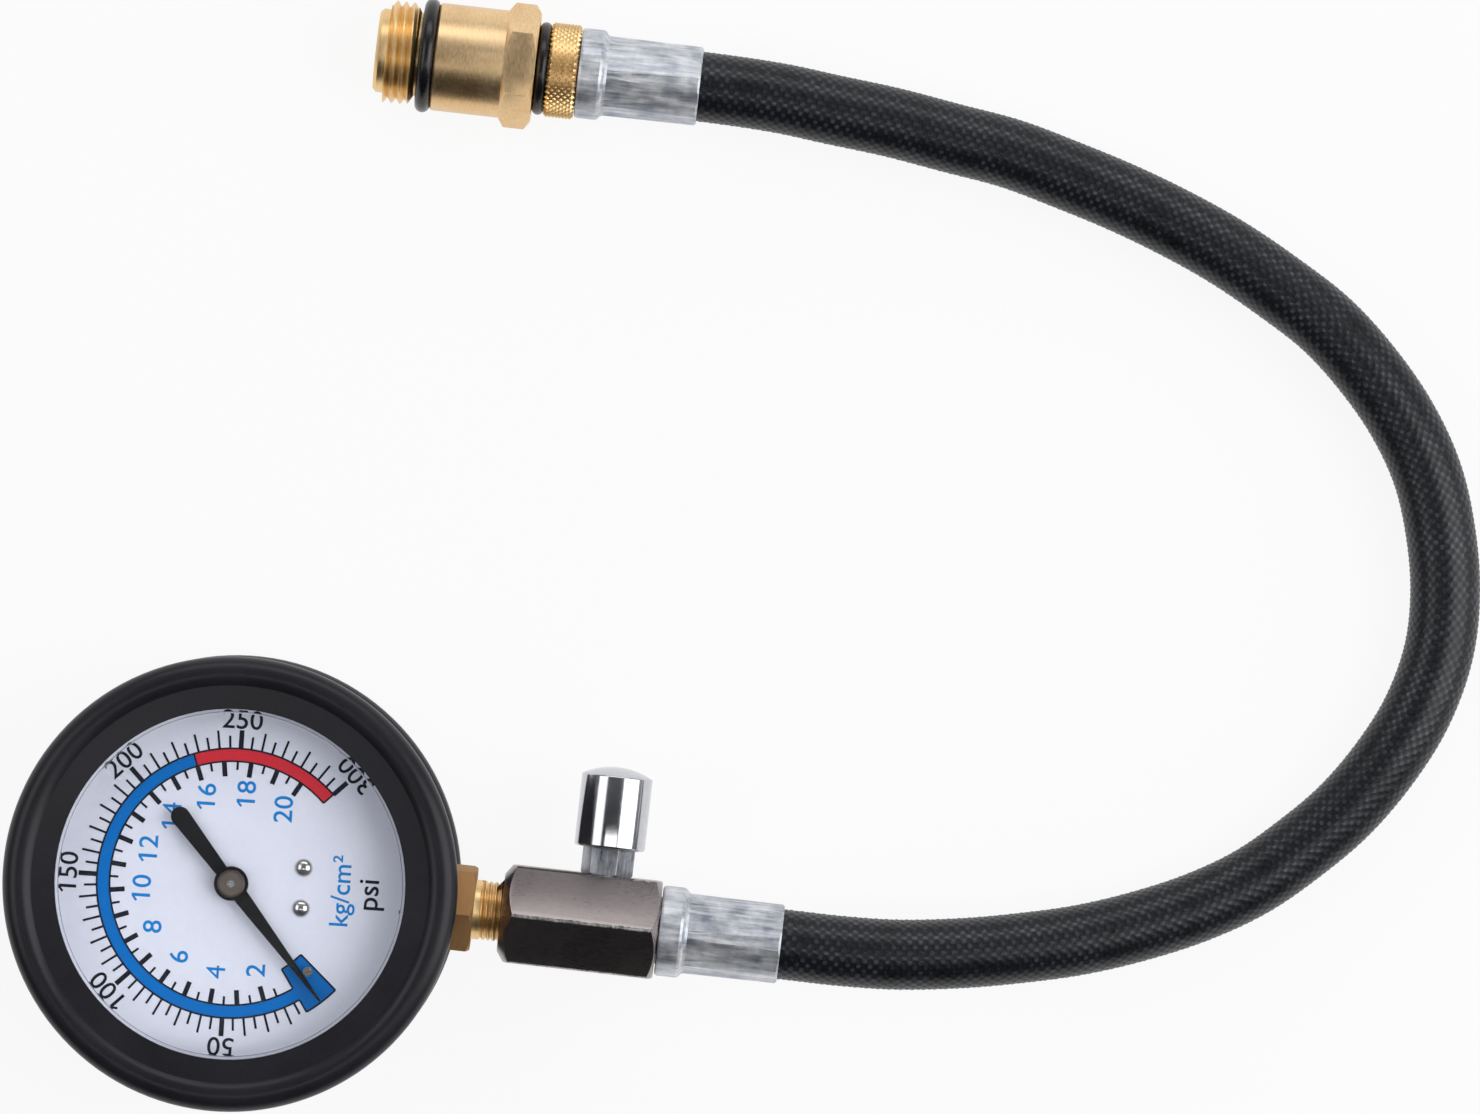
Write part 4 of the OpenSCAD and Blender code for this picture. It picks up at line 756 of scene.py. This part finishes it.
class TESTER_OT_cut_threads(bpy.types.Operator):
    """Cuts the spark plug thread on the adapter and the pipe thread on the stem"""

    bl_idname = "tester.cut_threads"
    bl_label = "Cut threads"

    def execute(self, context):
        sizes = context.scene.tester_fittings
        low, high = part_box("adapter_o_ring")
        axis = ((low.y + high.y) / 2, (low.z + high.z) / 2)
        adapter = merged_copy("adapter", "adapter_threaded")
        cut_thread(adapter, axis, *PLUG_THREAD, sizes.plug_depth, sizes.plug_pitch)
        round_edges(adapter, TURNED_EDGE)
        dress(adapter, finishes("adapter_brass", "fitting_brass"))
        for face in adapter.data.polygons:
            face.material_index = int(face.center.x < low.x)
        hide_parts("adapter")

        low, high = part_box("valve_block")
        axis = (0, (low.z + high.z) / 2)
        stem = merged_copy("stem_socket", "stem_threaded")
        first, last, crest = STEM_THREAD
        cut_thread(stem, axis, low.x + first, low.x + last, crest, sizes.stem_depth, sizes.stem_pitch)
        round_edges(stem, TURNED_EDGE)
        dress(stem, finishes("stem_brass", "fitting_brass"))
        for face in stem.data.polygons:
            face.material_index = int(face.center.x > low.x + STEM_NECK)
        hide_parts("stem_socket")
        return {"FINISHED"}


class TESTER_OT_round_edges(bpy.types.Operator):
    """Rounds the edges of the block, the valve and the fitting that handling has worn"""

    bl_idname = "tester.round_edges"
    bl_label = "Round edges"

    def execute(self, context):
        sizes = context.scene.tester_fittings
        worn = grained("Worn plating", "#575352", "#e6e2e0", (0.36, 0.5), 0.5, blotch=1.2, Metallic=1.0)
        bright = grained("Rubbed plating", "#cfd2d6", "#e6e8eb", (0.2, 0.34), 0.4, Metallic=1.0)
        for node, name, slot, body, width, edge in (
            ("valve_block", "valve_block_worn", "block_steel", BODY, 0.1 * MM, worn),
            ("release_body", "release_body_edged", "valve_steel", BODY, 0.14 * MM, bright),
            ("release_button", "release_button_edged", "cap_chrome", "release_cap", 0.2 * MM, None),
            ("hose_fitting", "hose_fitting_edged", "fitting_brass", BODY, 0.1 * MM, None),
        ):
            piece = merged_copy(node, name)
            dress(piece, finishes(slot) + ([edge] if edge else []), body)
            if edge is worn:
                wear_ridges(piece, sizes.worn_edge)
            round_edges(piece, width, 1 if edge else 0)
            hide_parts(node)
        return {"FINISHED"}


class TESTER_OT_knurl_collar(bpy.types.Operator):
    """Raises the diamonds of the knurl on the hose fitting's collar"""

    bl_idname = "tester.knurl_collar"
    bl_label = "Knurl collar"

    def execute(self, context):
        sizes = context.scene.tester_fittings
        low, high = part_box("hose_fitting")
        axis = Vector((0, (low.y + high.y) / 2, (low.z + high.z) / 2))
        radius = (high.z - low.z) / 2
        count = round(2 * math.pi * radius / sizes.knurl_pitch)
        first, last = KNURL_SPAN
        rows = int((last - first) / sizes.knurl_pitch * 2)
        studs = []
        for row in range(rows + 1):
            bpy.ops.object.select_all(action="DESELECT")
            bpy.ops.mesh.primitive_cone_add(
                vertices=4, radius1=KNURL_FOOT * sizes.knurl_pitch, radius2=KNURL_TOP * sizes.knurl_pitch,
                depth=2 * sizes.knurl_height,
                location=(first + row * (last - first) / rows, axis.y, axis.z + radius))
            stud = bpy.context.object
            bpy.ops.object.transform_apply(location=True, rotation=True, scale=True)
            bpy.ops.object.mode_set(mode="EDIT")
            bpy.ops.mesh.select_all(action="SELECT")
            half = math.pi / count if row % 2 else 0
            bpy.ops.transform.rotate(value=half, orient_axis="X", center_override=axis)
            bpy.ops.mesh.spin(steps=count - 1, dupli=True, angle=2 * math.pi * (count - 1) / count,
                              center=axis, axis=(1, 0, 0))
            bpy.ops.object.mode_set(mode="OBJECT")
            studs.append(stud)
        dress(join(studs, "collar_knurl"), finishes("fitting_brass"))
        return {"FINISHED"}


class TESTER_OT_finish_surfaces(bpy.types.Operator):
    """Gives every solid of the model the finish of its material"""

    bl_idname = "tester.finish_surfaces"
    bl_label = "Finish surfaces"

    def execute(self, context):
        made = {"window_clear": clear_acrylic(), "hose_rubber": bpy.data.materials[HOSE_FINISH]}
        for slot, (name, dark, light, roughness, grain, more) in FINISHES.items():
            made[slot] = grained(name, dark, light, roughness, grain, **more)
        for node in frame["nodes"].values():
            node.data.materials[0] = made[node.data.materials[0].name]
        # The nipple in the block takes the block's dark plating in place of its brass: painted shade in the
        # gap between the block and its ferrule
        frame["nodes"]["block_nipple"].data.materials[0] = made["block_steel"]
        return {"FINISHED"}


class TESTER_OT_set_camera(bpy.types.Operator):
    """Puts the camera straight above the tester, turned as the photograph is"""

    bl_idname = "tester.set_camera"
    bl_label = "Set camera"

    def execute(self, context):
        stage = context.scene.tester_stage
        bpy.ops.object.select_all(action="DESELECT")
        bpy.ops.object.camera_add(
            location=(*CAMERA_AT, stage.camera_height), rotation=(0, 0, math.radians(CAMERA_TURN_DEG)))
        camera = context.object
        camera.name = "photo_camera"
        camera.data.sensor_width = SENSOR_WIDTH
        camera.data.lens = SENSOR_WIDTH * stage.camera_height / stage.view_width
        camera.data.clip_end = 10
        context.scene.camera = camera
        return {"FINISHED"}


class TESTER_OT_set_stage(bpy.types.Operator):
    """Sets the pale floor and the soft studio light"""

    bl_idname = "tester.set_stage"
    bl_label = "Set stage"

    def execute(self, context):
        stage = context.scene.tester_stage
        context.scene.view_settings.view_transform = "Standard"
        bpy.ops.object.select_all(action="DESELECT")
        bpy.ops.mesh.primitive_plane_add(size=stage.floor_size, location=(0, 0, -FLOOR_DROP))
        floor = context.object
        floor.name = "floor"
        material, tree = new_material("Painted floor")
        paint = add_node(tree, "ShaderNodeBsdfDiffuse", {"Color": stage.floor})
        white = add_node(tree, "ShaderNodeEmission", {"Color": (1, 1, 1, 1), "Strength": 1.0})
        rays = add_node(tree, "ShaderNodeLightPath")
        seen = add_node(tree, "ShaderNodeMath", {
            0: rays.outputs["Is Camera Ray"], 1: rays.outputs["Is Glossy Ray"]}, operation="MAXIMUM")
        seen = add_node(tree, "ShaderNodeMath", {
            0: seen.outputs[0], 1: rays.outputs["Is Transmission Ray"]}, operation="MAXIMUM")
        glow = add_node(tree, "ShaderNodeMath", {0: seen.outputs[0], 1: FLOOR_GLOW}, operation="MULTIPLY")
        shader_to_output(tree, add_node(tree, "ShaderNodeMixShader", {
            0: glow.outputs[0], 1: paint.outputs[0], 2: white.outputs[0]}))
        floor.data.materials.append(material)

        world = bpy.data.worlds.new("Studio room")
        context.scene.world = world
        world.use_nodes = True
        tree = world.node_tree
        tree.nodes.clear()
        place = add_node(tree, "ShaderNodeTexCoord").outputs["Generated"]
        way = add_node(tree, "ShaderNodeSeparateXYZ", {"Vector": place})
        wall = add_node(tree, "ShaderNodeMath", {
            0: way.outputs["Z"], 1: -0.6, 2: way.outputs["Y"]}, operation="MULTIPLY_ADD")
        level = add_node(tree, "ShaderNodeMapRange", {
            "Value": wall.outputs[0], "From Min": -0.7, "From Max": 0.9, "To Min": 0.03, "To Max": 0.42})
        room = add_node(tree, "ShaderNodeBackground", {
            "Color": (0.93, 0.95, 1.0, 1.0), "Strength": level.outputs["Result"]})
        add_node(tree, "ShaderNodeOutputWorld", {"Surface": room.outputs[0]})
        for name, place, turn, size, power in LAMPS:
            bpy.ops.object.select_all(action="DESELECT")
            bpy.ops.object.light_add(
                type="AREA", location=place, rotation=[math.radians(a) for a in turn])
            lamp = context.object
            lamp.name = name
            lamp.data.shape = "RECTANGLE"
            lamp.data.size, lamp.data.size_y = size
            lamp.data.energy = power
        return {"FINISHED"}


class TESTER_PT_build(bpy.types.Panel):
    """Buttons and sizes of the tester"""

    bl_label = "Compression tester"
    bl_idname = "TESTER_PT_build"
    bl_space_type = "VIEW_3D"
    bl_region_type = "UI"
    bl_category = "Tester"

    def draw(self, context):
        for operator in OPERATORS:
            self.layout.operator(operator.bl_idname)
        for group in GROUPS:
            settings = getattr(context.scene, group)
            for name in settings.bl_rna.properties.keys()[2:]:
                self.layout.prop(settings, name)


# Steps of the build in their order: the camera and the hose come first
OPERATORS = (
    TESTER_OT_set_camera, TESTER_OT_lay_hose, TESTER_OT_finish_surfaces, TESTER_OT_cut_threads,
    TESTER_OT_round_edges, TESTER_OT_knurl_collar, TESTER_OT_declare_hose, TESTER_OT_print_dial,
    TESTER_OT_set_stage,
)
GROUPS = {
    "tester_hose": HoseSettings, "tester_dial": DialSettings, "tester_fittings": FittingSettings,
    "tester_stage": StageSettings,
}


def register():
    for kind in (*GROUPS.values(), *OPERATORS, TESTER_PT_build):
        bpy.utils.register_class(kind)
    for name, group in GROUPS.items():
        setattr(bpy.types.Scene, name, bpy.props.PointerProperty(type=group))


def unregister():
    for name in GROUPS:
        delattr(bpy.types.Scene, name)
    for kind in (TESTER_PT_build, *reversed(OPERATORS), *GROUPS.values()):
        bpy.utils.unregister_class(kind)


def main():
    register()
    for operator in OPERATORS:
        group, name = operator.bl_idname.split(".")
        getattr(getattr(bpy.ops, group), name)()


if __name__ == "__main__":
    main()
